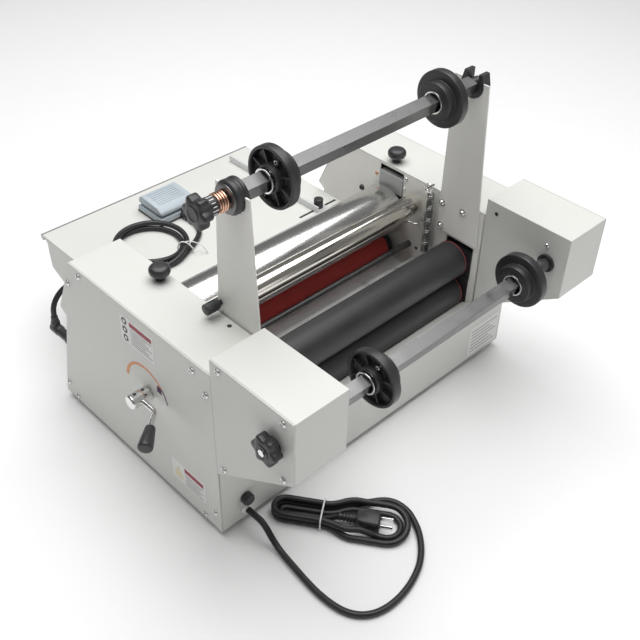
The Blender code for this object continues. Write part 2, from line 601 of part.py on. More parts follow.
def deck_pieces():
    """Pressure knobs on the cabinet tops, the bracket's lock knob, and the paper guide with its screw."""
    cap = [(0, 0.0205), (0.0080, 0.0205), (0.0120, 0.0175), (0.0130, 0.0120), (0.0115, 0.0085), (0.0060, 0.0070),
           (0.0060, GAP), (0.0035, GAP), (0.0035, -0.0035), (0, -0.0035)]
    for side, word in ((-1, "left"), (1, "right")):
        knob = turned(f"deck_knob_{word}", cap, (side * DECK_KNOB[0], DECK_KNOB[1], CABINET_TOP), (0, 0, 1))
        keep(knob, "black_plastic")
    lock = [(0, 0.0245), (0.0060, 0.0245), (0.0068, 0.0230), (0.0068, 0.0085), (0.0055, 0.0060), (0.0030, 0.0060),
            (0.0030, 0), (0, 0)]
    keep(spun_x("bracket_lock_knob", lock, -0.1862, LOCK_KNOB, -1), "black_plastic")

    x_low, x_high, y = GUIDE_SLOT
    base = TABLE_TOP + GAP
    foot = ((GUIDE_X - 0.011, y - 0.010), (GUIDE_X + 0.011, y - 0.010), (GUIDE_X + 0.011, y + 0.008),
            (GUIDE_X + 0.002, y + 0.022), (GUIDE_X + 0.002, 0.464), (GUIDE_X - 0.011, 0.464))
    guide = prism("paper_guide", foot, (base, base + 0.002), "Z", holes=[circle((GUIDE_X, y), 0.0024, 16)])
    fence = box("guide_fence", (GUIDE_X - 0.0110, y - 0.010, base + 0.001), (GUIDE_X - 0.0088, 0.464, base + 0.010))
    keep(boolean(guide, "UNION", [fence]), "clear_plastic")
    screw = [(0, 0.017), (0.0062, 0.017), (0.0070, 0.0160), (0.0070, 0.0026), (0.0018, 0.0026), (0.0018, -0.008),
             (0, -0.008)]
    keep(turned("guide_thumbscrew", screw, (GUIDE_X, y, TABLE_TOP), (0, 0, 1), steps=24), "black_plastic")


def foot_switch():
    """Foot switch kept on the feed table: a base and a sprung treadle."""
    x_low, x_high, y_low, y_high = PEDAL
    rest = TABLE_TOP + GAP
    tub = ((y_low, rest), (y_high, rest), (y_high, rest + 0.0105), (y_low, rest + 0.0105))
    keep(prism("pedal_base", tub, (x_low, x_high)), "pedal_plastic")
    pad = ((y_low + 0.001, 0.1645), (y_low + 0.001, 0.1700), (y_low + 0.010, 0.1760), (y_high - 0.008, 0.1785),
           (y_high - 0.001, 0.1730), (y_high - 0.001, 0.1650))
    treadle = prism("pedal_treadle", pad, (x_low + 0.001, x_high - 0.001))
    keep(move_origin(treadle, ((x_low + x_high) / 2, *TREADLE_HINGE)), "pedal_plastic")


# Cords


def hank_point(along, across):
    """A point in the hank's own frame: from its left fold centre, along its runs and across them."""
    sideways = Vector((-HANK_DIRECTION.y, HANK_DIRECTION.x))
    return HANK_LEFT + HANK_DIRECTION * along + sideways * across


def hank_reach(along):
    """How far the outer turn's centre lies from the hank's middle line."""
    share = min(max((along - 0.052) / 0.033, 0.0), 1.0)
    return HANK_WAIST + (HANK_LOOP - HANK_WAIST) * share * share * (3 - 2 * share)


def hank_outline(start, offset, round_start):
    """A closed outline at an offset from the outer turn's centre, in the hank's frame."""
    stops = [start + (HANK_SPAN - start) * i / 14 for i in range(14)]
    near = [(along, -hank_reach(along) - offset) for along in stops]
    far = [(along, -across) for along, across in reversed(near)]
    right = arc((HANK_SPAN, 0), HANK_LOOP + offset, -90, 90, 12)
    left = arc((start, 0), hank_reach(start) + offset, 90, 270, 10)[1:-1] if round_start else []
    return [tuple(hank_point(*point)) for point in near + right + far + left]


def mains_lead():
    """Mains cord on the floor, its tied hank, and the plug lying inside the hank's loop."""
    keep(wire("mains_cord", smooth(MAINS_ROUTE, 0.018), MAINS_RADIUS), "cord")
    low = FLOOR + 0.0002
    hole = hank_outline(HANK_HOLE_START, -0.0122, False)
    hank = prism("mains_hank", hank_outline(0, 0.0041, True), (low, low + HANK_HEIGHT), "Z", holes=[hole])
    keep(hank, "cord")
    middle = FLOOR + 0.0092
    body = [(0.0885, -0.0085), (0.0965, -0.0115), (0.1185, -0.0115), (0.1185, 0.0115), (0.0965, 0.0115),
            (0.0885, 0.0085)]
    plug = prism("mains_plug", [tuple(hank_point(*point)) for point in body], (low, FLOOR + 0.0182), "Z")
    start = Vector((*hank_point(0.0667, 0), middle))
    ahead = Vector((*HANK_DIRECTION, 0))
    relief = turned("plug_relief", [(0, 0.026), (0.0066, 0.026), (0.0048, 0), (0, 0)], start, ahead, steps=16)
    blades = []
    for word, across in (("line", -0.0060), ("neutral", 0.0060)):
        flat = [(0.1165, across - 0.0008), (0.1340, across - 0.0008), (0.1340, across + 0.0008),
                (0.1165, across + 0.0008)]
        blades.append(prism(f"blade_{word}", [tuple(hank_point(*p)) for p in flat],
                            (middle - 0.0032, middle + 0.0032), "Z"))
    keep(boolean(plug, "UNION", [relief, *blades]), "black_plastic")


def pedal_lead():
    """Foot switch lead: to its tied coil, over the table's edge, and down to an angled plug."""
    keep(wire("pedal_cord_a", smooth(PEDAL_ROUTE_A, 0.015), PEDAL_CORD_RADIUS), "cord")
    ring = [(COIL_INNER, 0), (COIL_INNER, COIL_HEIGHT), (COIL_OUTER, COIL_HEIGHT), (COIL_OUTER, 0)]
    keep(turned("pedal_coil", ring, (*COIL_CENTRE, TABLE_TOP + GAP), (0, 0, 1), closed=True, steps=32), "cord")
    keep(wire("pedal_cord_b", smooth(PEDAL_ROUTE_B, 0.014), PEDAL_CORD_RADIUS), "cord")
    x, y, z = PEDAL_ROUTE_B[-1]
    socket_height = 0.088
    body = turned("pedal_plug", [(0, 0.0505), (0.0065, 0.0505), (0.0075, 0.0490), (0.0075, 0.0020), (0.0055, 0),
                                 (0, 0)], (x, 0.3195, socket_height), (0, 1, 0), steps=20)
    elbow = turned("plug_elbow", [(0, 0.0200), (0.0046, 0.0200), (0.0062, 0.0080), (0.0062, 0), (0, 0)],
                   (x, y, socket_height), (0, 0, 1), steps=20)
    keep(boolean(body, "UNION", [elbow]), "black_plastic")


CORD_PIECES = ("mains_cord", "mains_hank", "mains_plug", "pedal_cord_a", "pedal_coil", "pedal_cord_b", "pedal_plug")


def stand_on_feet():
    """Moves the root so that the machine, cords apart, is centred over the origin and stands on z = 0."""
    bpy.context.view_layer.update()
    graph = bpy.context.evaluated_depsgraph_get()
    corners = []
    for obj in PARTS.objects:
        if obj.type == "MESH" and obj.name not in CORD_PIECES:
            seen = obj.evaluated_get(graph)
            corners += [seen.matrix_world @ vertex.co for vertex in seen.data.vertices]
    middle = [(min(c[i] for c in corners) + max(c[i] for c in corners)) / 2 for i in (0, 1)]
    ROOT.location = (-middle[0], -middle[1], FOOT)


chassis_pan()
for hand, label in ((-1, "left"), (1, "right")):
    side_pieces(hand, label)
feed_table()
shaft_brackets()
small_body_pieces()
rollers()
pressure_shaft()
crank()
upper_film_shaft()
lower_film_shaft()
deck_pieces()
foot_switch()
mains_lead()
pedal_lead()
stand_on_feet()
for piece in PARTS.objects:
    if piece.type == "MESH":
        piece.data.set_sharp_from_angle(angle=math.radians(35))
        piece.data.shade_smooth()
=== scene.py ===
"""Looks of a desktop hot and cold roll laminator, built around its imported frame.

Sizes are in metres, in machine coordinates: X from the middle of the width, Y from the front lower panel
towards the feed table, Z from the bottom edge of the panels. at() turns them into the frame's coordinates.
"""

import json
import logging
import math
from collections.abc import Iterable, Sequence
from dataclasses import dataclass
from enum import Enum

import bmesh
import bpy
from mathutils import Matrix, Vector

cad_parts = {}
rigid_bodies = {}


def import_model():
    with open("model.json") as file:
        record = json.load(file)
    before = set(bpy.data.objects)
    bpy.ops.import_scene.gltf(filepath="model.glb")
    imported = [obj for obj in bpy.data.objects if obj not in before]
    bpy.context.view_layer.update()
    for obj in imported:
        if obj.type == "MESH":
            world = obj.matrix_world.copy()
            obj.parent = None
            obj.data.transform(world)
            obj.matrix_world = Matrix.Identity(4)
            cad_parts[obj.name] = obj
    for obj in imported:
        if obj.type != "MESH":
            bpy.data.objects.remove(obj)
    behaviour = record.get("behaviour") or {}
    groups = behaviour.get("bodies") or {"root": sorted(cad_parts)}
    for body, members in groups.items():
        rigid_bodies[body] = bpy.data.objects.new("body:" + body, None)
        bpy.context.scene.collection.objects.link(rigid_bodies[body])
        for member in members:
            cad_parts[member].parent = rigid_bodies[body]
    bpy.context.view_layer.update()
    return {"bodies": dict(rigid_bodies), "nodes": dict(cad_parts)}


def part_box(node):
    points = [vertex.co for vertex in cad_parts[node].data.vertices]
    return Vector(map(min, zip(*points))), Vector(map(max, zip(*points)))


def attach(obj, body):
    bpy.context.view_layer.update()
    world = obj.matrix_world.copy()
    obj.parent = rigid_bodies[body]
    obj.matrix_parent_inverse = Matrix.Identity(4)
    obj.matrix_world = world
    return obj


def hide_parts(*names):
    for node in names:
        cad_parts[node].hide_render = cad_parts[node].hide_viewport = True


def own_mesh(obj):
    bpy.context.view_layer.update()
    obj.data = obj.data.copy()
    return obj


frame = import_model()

LOG = logging.getLogger("laminator")

Point = Sequence[float]
Profile = list[tuple[float, float]]

LEFT_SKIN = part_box("side_panel_left")
RIGHT_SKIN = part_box("side_panel_right")
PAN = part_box("chassis_pan")
ORIGIN = Vector(((LEFT_SKIN[0].x + RIGHT_SKIN[1].x) / 2, PAN[0].y, PAN[0].z))
SIDES = ((-1, "left"), (1, "right"))


class Body(Enum):
    """The moving groups of the frame that pieces ride on."""

    FRAME = "machine_frame"
    CRANK = "crank"
    GRIP = "crank_grip"
    UPPER_SHAFT = "upper_shaft"
    UPPER_KNOB = "upper_star_knob"
    LOWER_KNOB = "lower_star_knob"
    LOCK_KNOB = "bracket_lock_knob"
    THUMBSCREW = "guide_thumbscrew"
    TREADLE = "pedal_treadle"


class Along(Enum):
    """The axis that an outline is extruded along, as the matrix that turns its own x, y and z."""

    X = ((0, 0, 1, 0), (1, 0, 0, 0), (0, 1, 0, 0), (0, 0, 0, 1))
    Z = ((1, 0, 0, 0), (0, 1, 0, 0), (0, 0, 1, 0), (0, 0, 0, 1))


def at(x: float, y: float, z: float) -> Vector:
    """Turns machine coordinates into a point of the frame."""
    return ORIGIN + Vector((x, y, z))


def low(node: str) -> Vector:
    """The lowest corner of a node, in machine coordinates."""
    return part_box(node)[0] - ORIGIN


def high(node: str) -> Vector:
    """The highest corner of a node, in machine coordinates."""
    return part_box(node)[1] - ORIGIN


# Finishes


@dataclass(frozen=True)
class Finish:
    """A surface finish with fine relief and slow variation of colour and gloss.

    grain is the relief's frequency along each axis, per metre, and depth its height. mottle is the share by
    which the colour varies, gloss_shift the amount by which the roughness does, and edge the radius that
    edges look to have.
    """

    name: str
    colour: tuple[float, float, float]
    roughness: float
    metallic: float = 0.0
    grain: tuple[float, float, float] = (900.0, 900.0, 900.0)
    depth: float = 0.00002
    mottle: float = 0.03
    mottle_scale: float = 25.0
    gloss_shift: float = 0.04
    edge: float = 0.0
    coat: float = 0.0
    sheen: float = 0.0
    transmission: float = 0.0

    def tinted(self, nodes: bpy.types.Nodes, links: bpy.types.NodeLinks) -> bpy.types.NodeSocket | None:
        """Makes the base colour, where it isn't one plain colour.

        Args:
            nodes: The material's nodes.
            links: The material's links.

        Returns:
            The colour socket before mottling, or None for the plain colour.
        """
        return None

    def material(self) -> bpy.types.Material:
        """Makes the material, or finds it if it is made already.

        Returns:
            The node material.
        """
        known = bpy.data.materials.get(f"{self.name}_finish")
        if known:
            return known
        made = bpy.data.materials.new(f"{self.name}_finish")
        made.use_nodes = True
        nodes, links = made.node_tree.nodes, made.node_tree.links
        shader = nodes["Principled BSDF"]
        shader.inputs["Metallic"].default_value = self.metallic
        shader.inputs["Coat Weight"].default_value = self.coat
        shader.inputs["Sheen Weight"].default_value = self.sheen
        shader.inputs["Transmission Weight"].default_value = self.transmission
        place = nodes.new("ShaderNodeTexCoord")

        slow = nodes.new("ShaderNodeTexNoise")
        slow.inputs["Scale"].default_value = self.mottle_scale
        slow.inputs["Detail"].default_value = 5.0
        links.new(place.outputs["Object"], slow.inputs["Vector"])
        level = nodes.new("ShaderNodeMapRange")
        level.inputs["From Min"].default_value = 0.3
        level.inputs["From Max"].default_value = 0.7
        level.inputs["To Min"].default_value = 1.0 - self.mottle
        level.inputs["To Max"].default_value = 1.0 + self.mottle
        links.new(slow.outputs["Fac"], level.inputs["Value"])
        tint = nodes.new("ShaderNodeVectorMath")
        tint.operation = "SCALE"
        tint.inputs[0].default_value = self.colour
        base = self.tinted(nodes, links)
        if base:
            links.new(base, tint.inputs[0])
        links.new(level.outputs["Result"], tint.inputs["Scale"])
        links.new(tint.outputs["Vector"], shader.inputs["Base Color"])

        gloss = nodes.new("ShaderNodeMapRange")
        gloss.inputs["From Min"].default_value = 0.3
        gloss.inputs["From Max"].default_value = 0.7
        gloss.inputs["To Min"].default_value = max(0.02, self.roughness - self.gloss_shift)
        gloss.inputs["To Max"].default_value = self.roughness + self.gloss_shift
        links.new(slow.outputs["Fac"], gloss.inputs["Value"])
        links.new(gloss.outputs["Result"], shader.inputs["Roughness"])

        spread = nodes.new("ShaderNodeMapping")
        spread.inputs["Scale"].default_value = self.grain
        links.new(place.outputs["Object"], spread.inputs["Vector"])
        fine = nodes.new("ShaderNodeTexNoise")
        fine.inputs["Scale"].default_value = 1.0
        fine.inputs["Detail"].default_value = 3.0
        links.new(spread.outputs["Vector"], fine.inputs["Vector"])
        bump = nodes.new("ShaderNodeBump")
        bump.inputs["Distance"].default_value = self.depth
        links.new(fine.outputs["Fac"], bump.inputs["Height"])
        if self.edge:
            rounded = nodes.new("ShaderNodeBevel")
            rounded.samples = 6
            rounded.inputs["Radius"].default_value = self.edge
            links.new(rounded.outputs["Normal"], bump.inputs["Normal"])
        links.new(bump.outputs["Normal"], shader.inputs["Normal"])
        return made


@dataclass(frozen=True)
class BandedFinish(Finish):
    """A finish that changes colour at a height, as on a block whose upper part is bare."""

    above: tuple[float, float, float] = (0.5, 0.5, 0.5)
    height: float = 0.0

    def tinted(self, nodes: bpy.types.Nodes, links: bpy.types.NodeLinks) -> bpy.types.NodeSocket | None:
        """Makes a colour that steps at the height.

        Args:
            nodes: The material's nodes.
            links: The material's links.

        Returns:
            The colour socket before mottling.
        """
        place = nodes.new("ShaderNodeTexCoord")
        split = nodes.new("ShaderNodeSeparateXYZ")
        links.new(place.outputs["Object"], split.inputs[0])
        over = nodes.new("ShaderNodeMath")
        over.operation = "GREATER_THAN"
        over.inputs[1].default_value = self.height
        links.new(split.outputs["Z"], over.inputs[0])
        mix = nodes.new("ShaderNodeMix")
        mix.data_type = "RGBA"
        mix.inputs["A"].default_value = (*self.colour, 1.0)
        mix.inputs["B"].default_value = (*self.above, 1.0)
        links.new(over.outputs[0], mix.inputs["Factor"])
        return mix.outputs["Result"]


POWDER_COAT = Finish("powder_coat", (0.70, 0.70, 0.668), 0.40, depth=0.00005, grain=(1400, 1400, 1400),
                     mottle=0.012, mottle_scale=9, edge=0.0009)
# Painted light: the casing's grey coat made lighter for the inner walls and brackets, so that they look more
# brightly lit.
WALL_COAT_PAINTED_LIGHT = Finish("wall_coat_painted_light", (0.86, 0.855, 0.815), 0.42, depth=0.00005, grain=(1400, 1400, 1400),
                   mottle=0.02, mottle_scale=9, edge=0.0006)
ZINC = Finish("zinc_plate", (0.74, 0.745, 0.74), 0.36, 0.25, grain=(30, 900, 900), mottle=0.10,
              mottle_scale=40,
              gloss_shift=0.10, edge=0.0004)
CHROME = Finish("chrome_plate", (0.80, 0.80, 0.79), 0.09, 1.0, grain=(700, 12, 12), depth=0.000004,
                mottle=0.02,
                gloss_shift=0.03)
POLISHED_ROLLER = Finish("polished_roller", (0.76, 0.755, 0.74), 0.20, 1.0, grain=(5, 700, 700),
                         depth=0.000012,
                         mottle=0.02, mottle_scale=14, gloss_shift=0.02)
WARM_CHROME = Finish("warm_chrome", (0.80, 0.765, 0.70), 0.13, 1.0, grain=(4, 800, 800), depth=0.000010,
                     mottle=0.02,
                     gloss_shift=0.02)
DRAWN_STEEL = Finish("drawn_steel", (0.17, 0.17, 0.17), 0.33, 0.9, grain=(14, 1500, 1500), depth=0.00003,
                     mottle=0.09, mottle_scale=60, gloss_shift=0.09, edge=0.0006)
MOULDED_BLACK = Finish("moulded_black", (0.034, 0.034, 0.036), 0.36, grain=(1800, 1800, 1800), depth=0.00004,
                       mottle=0.15, gloss_shift=0.07, edge=0.0005)
GROUND_RUBBER = Finish("ground_rubber", (0.030, 0.030, 0.031), 0.46, grain=(1500, 9, 9), depth=0.00003,
                       mottle=0.12,
                       gloss_shift=0.05)
RED_SILICONE = Finish("red_silicone", (0.70, 0.070, 0.062), 0.48, grain=(1300, 9, 9), depth=0.00003,
                      mottle=0.10,
                      gloss_shift=0.06)
DULL_RED = Finish("dull_red", (0.46, 0.10, 0.10), 0.5)
BLUE_GREY = Finish("pedal_blue_grey", (0.46, 0.52, 0.56), 0.42, grain=(1500, 1500, 1500), depth=0.00006,
                   mottle=0.05,
                   edge=0.0006)
DARK_GREY = Finish("dark_grey_bead", (0.26, 0.26, 0.255), 0.45, grain=(60, 900, 900), mottle=0.12)
COPPER = Finish("copper_plate", (0.80, 0.50, 0.37), 0.22, 1.0, mottle=0.14, mottle_scale=120,
                gloss_shift=0.08)
SPRING_STEEL = Finish("spring_steel", (0.34, 0.34, 0.33), 0.28, 1.0, mottle=0.25, mottle_scale=150)
SHEATH = Finish("cord_sheath", (0.018, 0.018, 0.020), 0.40, grain=(700, 700, 700), depth=0.00003, mottle=0.15,
                gloss_shift=0.08)
NYLON = Finish("white_nylon", (0.82, 0.82, 0.80), 0.38, grain=(900, 900, 900), mottle=0.02)
ACRYLIC = Finish("milky_acrylic", (0.84, 0.86, 0.86), 0.16, mottle=0.02, transmission=0.25, edge=0.0003)
PAPER = Finish("label_paper", (0.84, 0.84, 0.82), 0.5, mottle=0.015, grain=(2500, 2500, 2500))
CREAM = Finish("label_cream", (0.80, 0.74, 0.52), 0.5, mottle=0.015)
CRIMSON = Finish("label_crimson", (0.34, 0.03, 0.06), 0.5)
INK = Finish("label_ink", (0.10, 0.10, 0.11), 0.5)
GREY_INK = Finish("label_grey_ink", (0.42, 0.42, 0.43), 0.5)
ORANGE = Finish("scale_orange", (0.78, 0.33, 0.14), 0.5)
PURPLE = Finish("scale_purple", (0.10, 0.03, 0.10), 0.5)
DISPLAY = Finish("display_window", (0.02, 0.035, 0.03), 0.12, coat=0.5)
LED_RED = Finish("lamp_red", (0.55, 0.03, 0.02), 0.2, coat=0.5)
KEY_GREY = Finish("key_grey", (0.30, 0.31, 0.32), 0.45, edge=0.0003)


# Shapes


def dress(obj: bpy.types.Object, finish: Finish) -> bpy.types.Object:
    """Gives an object one finish.

    Args:
        obj: A piece or a node of the frame.
        finish: Its finish.

    Returns:
        The same object.
    """
    obj.data.materials.clear()
    obj.data.materials.append(finish.material())
    return obj


def fit(obj: bpy.types.Object, finish: Finish, body: Body | str, replaced: Iterable[str] = ()
        ) -> bpy.types.Object:
    """Dresses a new piece, sets what it rides on and hides the nodes that it stands for.

    Args:
        obj: The new piece, in place.
        finish: Its finish.
        body: The body that it rides on.
        replaced: The nodes that it stands for.

    Returns:
        The same object.
    """
    dress(obj, finish)
    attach(obj, body.value if isinstance(body, Body) else body)
    for node in replaced:
        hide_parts(node)
    return obj


def from_bmesh(name: str, shape: bmesh.types.BMesh, sharp: float = 40.0) -> bpy.types.Object:
    """Turns a bmesh into a linked, smoothly shaded object.

    Args:
        name: The object's name.
        shape: The bmesh, which is freed.
        sharp: The angle in degrees past which an edge stays sharp.

    Returns:
        The object.
    """
    bmesh.ops.recalc_face_normals(shape, faces=shape.faces)
    mesh = bpy.data.meshes.new(name)
    shape.to_mesh(mesh)
    shape.free()
    mesh.set_sharp_from_angle(angle=math.radians(sharp))
    obj = bpy.data.objects.new(name, mesh)
    bpy.context.scene.collection.objects.link(obj)
    return obj


def eased(profile: Profile, radius: float, closed: bool = False) -> Profile:
    """Rounds the corners of a profile.

    Args:
        profile: Corner points.
        radius: How far from a corner its rounding starts.
        closed: Whether the last point joins the first.

    Returns:
        The profile with each corner as a short curve.
    """
    count = len(profile)
    found: Profile = []
    for i, here in enumerate(profile):
        if not closed and i in (0, count - 1):
            found.append(here)
            continue
        corner, before, after = Vector(here), Vector(profile[i - 1]), Vector(profile[(i + 1) % count])
        start = corner + (before - corner).normalized() * min(radius, (before - corner).length * 0.45)
        end = corner + (after - corner).normalized() * min(radius, (after - corner).length * 0.45)
        for step in range(4):
            t = step / 3
            found.append(tuple(start * (1 - t) ** 2 + corner * 2 * t * (1 - t) + end * t * t))
    return found


def lathe(name: str, profile: Profile, centre: Vector, direction: Point, steps: int = 72,
          closed: bool = False, ease: float = 0.0006) -> bpy.types.Object:
    """Turns a profile about an axis.

    Args:
        name: The object's name.
        profile: Points of (radius, distance along the axis).
        centre: Where distance is zero, in the frame.
        direction: The way that distance grows.
        steps: How many sides a turn has.
        closed: Whether the profile is a closed ring.
        ease: How far corners are rounded.

    Returns:
        The turned object.
    """
    points = eased(profile, ease, closed) if ease else profile
    shape = bmesh.new()
    rings = []
    for radius, distance in points:
        if radius < 1e-6:
            rings.append([shape.verts.new((0, 0, distance))])
            continue
        turn = [2 * math.pi * i / steps for i in range(steps)]
        rings.append([shape.verts.new((radius * math.cos(a), radius * math.sin(a), distance)) for a in turn])
    following = rings[1:] + (rings[:1] if closed else [])
    for ring, after in zip(rings, following):
        for i in range(steps):
            j = (i + 1) % steps
            corners = [ring[i % len(ring)], ring[j % len(ring)], after[j % len(after)], after[i % len(after)]]
            shape.faces.new(list(dict.fromkeys(corners)))
    turned = Vector((0, 0, 1)).rotation_difference(Vector(direction)).to_matrix().to_4x4()
    bmesh.ops.transform(shape, matrix=Matrix.Translation(centre) @ turned, verts=shape.verts)
    return from_bmesh(name, shape, 32.0)


def slab(name: str, outline: Profile, span: tuple[float, float], along: Along, bevel: float = 0.0,
         segments: int = 3) -> bpy.types.Object:
    """Extrudes a flat outline.

    Args:
        name: The object's name.
        outline: Corner points in machine coordinates of the plane across the extrusion.
        span: Where the extrusion starts and ends, in machine coordinates.
        along: The axis of the extrusion.
        bevel: How wide its rounded edges are.
        segments: How many facets a rounded edge has.

    Returns:
        The extruded object.
    """
    shape = bmesh.new()
    bottom = [shape.verts.new((x, y, min(span))) for x, y in outline]
    top = [shape.verts.new((x, y, max(span))) for x, y in outline]
    shape.faces.new(bottom)
    shape.faces.new(top)
    for i, corner in enumerate(bottom):
        j = (i + 1) % len(bottom)
        shape.faces.new((corner, bottom[j], top[j], top[i]))
    bmesh.ops.transform(shape, matrix=Matrix.Translation(ORIGIN) @ Matrix(along.value), verts=shape.verts)
    obj = from_bmesh(name, shape)
    if bevel:
        modifier = obj.modifiers.new("rounded_edges", "BEVEL")
        modifier.width = bevel
        modifier.segments = segments
        modifier.limit_method = "ANGLE"
        modifier.harden_normals = True
    return obj


def block(name: str, first: Point, last: Point, bevel: float = 0.0) -> bpy.types.Object:
    """Makes a block with rounded edges.

    Args:
        name: The object's name.
        first: One corner, in machine coordinates.
        last: The opposite corner.
        bevel: How wide its rounded edges are.

    Returns:
        The block.
    """
    (x0, y0, z0), (x1, y1, z1) = first, last
    return slab(name, [(x0, y0), (x1, y0), (x1, y1), (x0, y1)], (z0, z1), Along.Z, bevel)


def joined(name: str, parts: Sequence[bpy.types.Object]) -> bpy.types.Object:
    """Joins meshes, with their modifiers applied, into one object.

    Args:
        name: The name of the joined object.
        parts: The meshes, which are removed.

    Returns:
        The joined object.
    """
    graph = bpy.context.evaluated_depsgraph_get()
    shape = bmesh.new()
    for part in parts:
        mesh = bpy.data.meshes.new_from_object(part.evaluated_get(graph))
        mesh.transform(part.matrix_world)
        shape.from_mesh(mesh)
        bpy.data.meshes.remove(mesh)
        bpy.data.objects.remove(part)
    return from_bmesh(name, shape)


def arc(centre: Point, radius: float, start: float, end: float, count: int) -> Profile:
    """Points along an arc.

    Args:
        centre: Its centre.
        radius: Its radius.
        start: Its first angle in degrees.
        end: Its last angle in degrees.
        count: How many points it has.

    Returns:
        The points.
    """
    angles = [math.radians(start + (end - start) * i / (count - 1)) for i in range(count)]
    return [(centre[0] + radius * math.cos(a), centre[1] + radius * math.sin(a)) for a in angles]


def lobed(centre: Point, radius: float, depth: float, lobes: int, count: int) -> Profile:
    """A round outline with lobes.

    Args:
        centre: Its centre.
        radius: Its radius over the lobes.
        depth: How deep the hollows between lobes are.
        lobes: How many lobes there are.
        count: How many points it has.

    Returns:
        The outline.
    """
    angles = [2 * math.pi * i / count for i in range(count)]
    reach = [radius - depth * (0.5 - 0.5 * math.cos(lobes * a)) for a in angles]
    return [(centre[0] + r * math.cos(a), centre[1] + r * math.sin(a)) for r, a in zip(reach, angles)]


def smooth(points: Sequence[Point], spacing: float) -> list[Vector]:
    """Points at an even spacing on a smooth curve through the given ones.

    Args:
        points: The curve's own points.
        spacing: About how far apart the new ones are.

    Returns:
        The new points.
    """
    own = [Vector(point) for point in points]
    ends = [2 * own[0] - own[1], *own, 2 * own[-1] - own[-2]]
    fine = []
    for before, a, b, after in zip(ends, ends[1:], ends[2:], ends[3:]):
        for step in range(16):
            t = step / 16
            fine.append(0.5 * (2 * a + (b - before) * t + (2 * before - 5 * a + 4 * b - after) * t * t
                               + (3 * a - before - 3 * b + after) * t ** 3))
    fine.append(own[-1])
    lengths = [0.0]
    for a, b in zip(fine, fine[1:]):
        lengths.append(lengths[-1] + (b - a).length)
    count = round(lengths[-1] / spacing)
    found = []
    index = 0
    for step in range(count + 1):
        wanted = lengths[-1] * step / count
        while index < len(fine) - 2 and lengths[index + 1] < wanted:
            index += 1
        share = (wanted - lengths[index]) / (lengths[index + 1] - lengths[index])
        found.append(fine[index].lerp(fine[index + 1], min(share, 1.0)))
    return found


def wire(name: str, points: Sequence[Point], radius: float, resolution: int = 3) -> bpy.types.Object:
    """A round wire, cord or tube.

    Args:
        name: The object's name.
        points: Its centreline, in machine coordinates.
        radius: Its radius.
        resolution: The curve's bevel resolution.

    Returns:
        The curve object.
    """
    curve = bpy.data.curves.new(name, "CURVE")
    curve.dimensions = "3D"
    curve.bevel_depth = radius
    curve.bevel_resolution = resolution
    curve.use_fill_caps = True
    spline = curve.splines.new("POLY")
    spline.points.add(len(points) - 1)
    for knot, point in zip(spline.points, points):
        knot.co = (*at(*point), 1.0)
    obj = bpy.data.objects.new(name, curve)
    bpy.context.scene.collection.objects.link(obj)
    return obj


def as_mesh(curve: bpy.types.Object) -> bpy.types.Object:
    """Turns a curve object into a smoothly shaded mesh of the same name.

    Args:
        curve: The curve object, which is removed.

    Returns:
        The mesh object.
    """
    name = curve.name
    bpy.context.view_layer.update()
    mesh = bpy.data.meshes.new_from_object(curve.evaluated_get(bpy.context.evaluated_depsgraph_get()))
    bpy.data.objects.remove(curve)
    shape = bmesh.new()
    shape.from_mesh(mesh)
    bmesh.ops.remove_doubles(shape, verts=shape.verts, dist=1e-6)
    bpy.data.meshes.remove(mesh)
    return from_bmesh(name, shape)


def eased_step(value: float) -> float:
    """A smooth step from 0 to 1."""
    t = min(max(value, 0.0), 1.0)
    return t * t * (3 - 2 * t)


# Studio


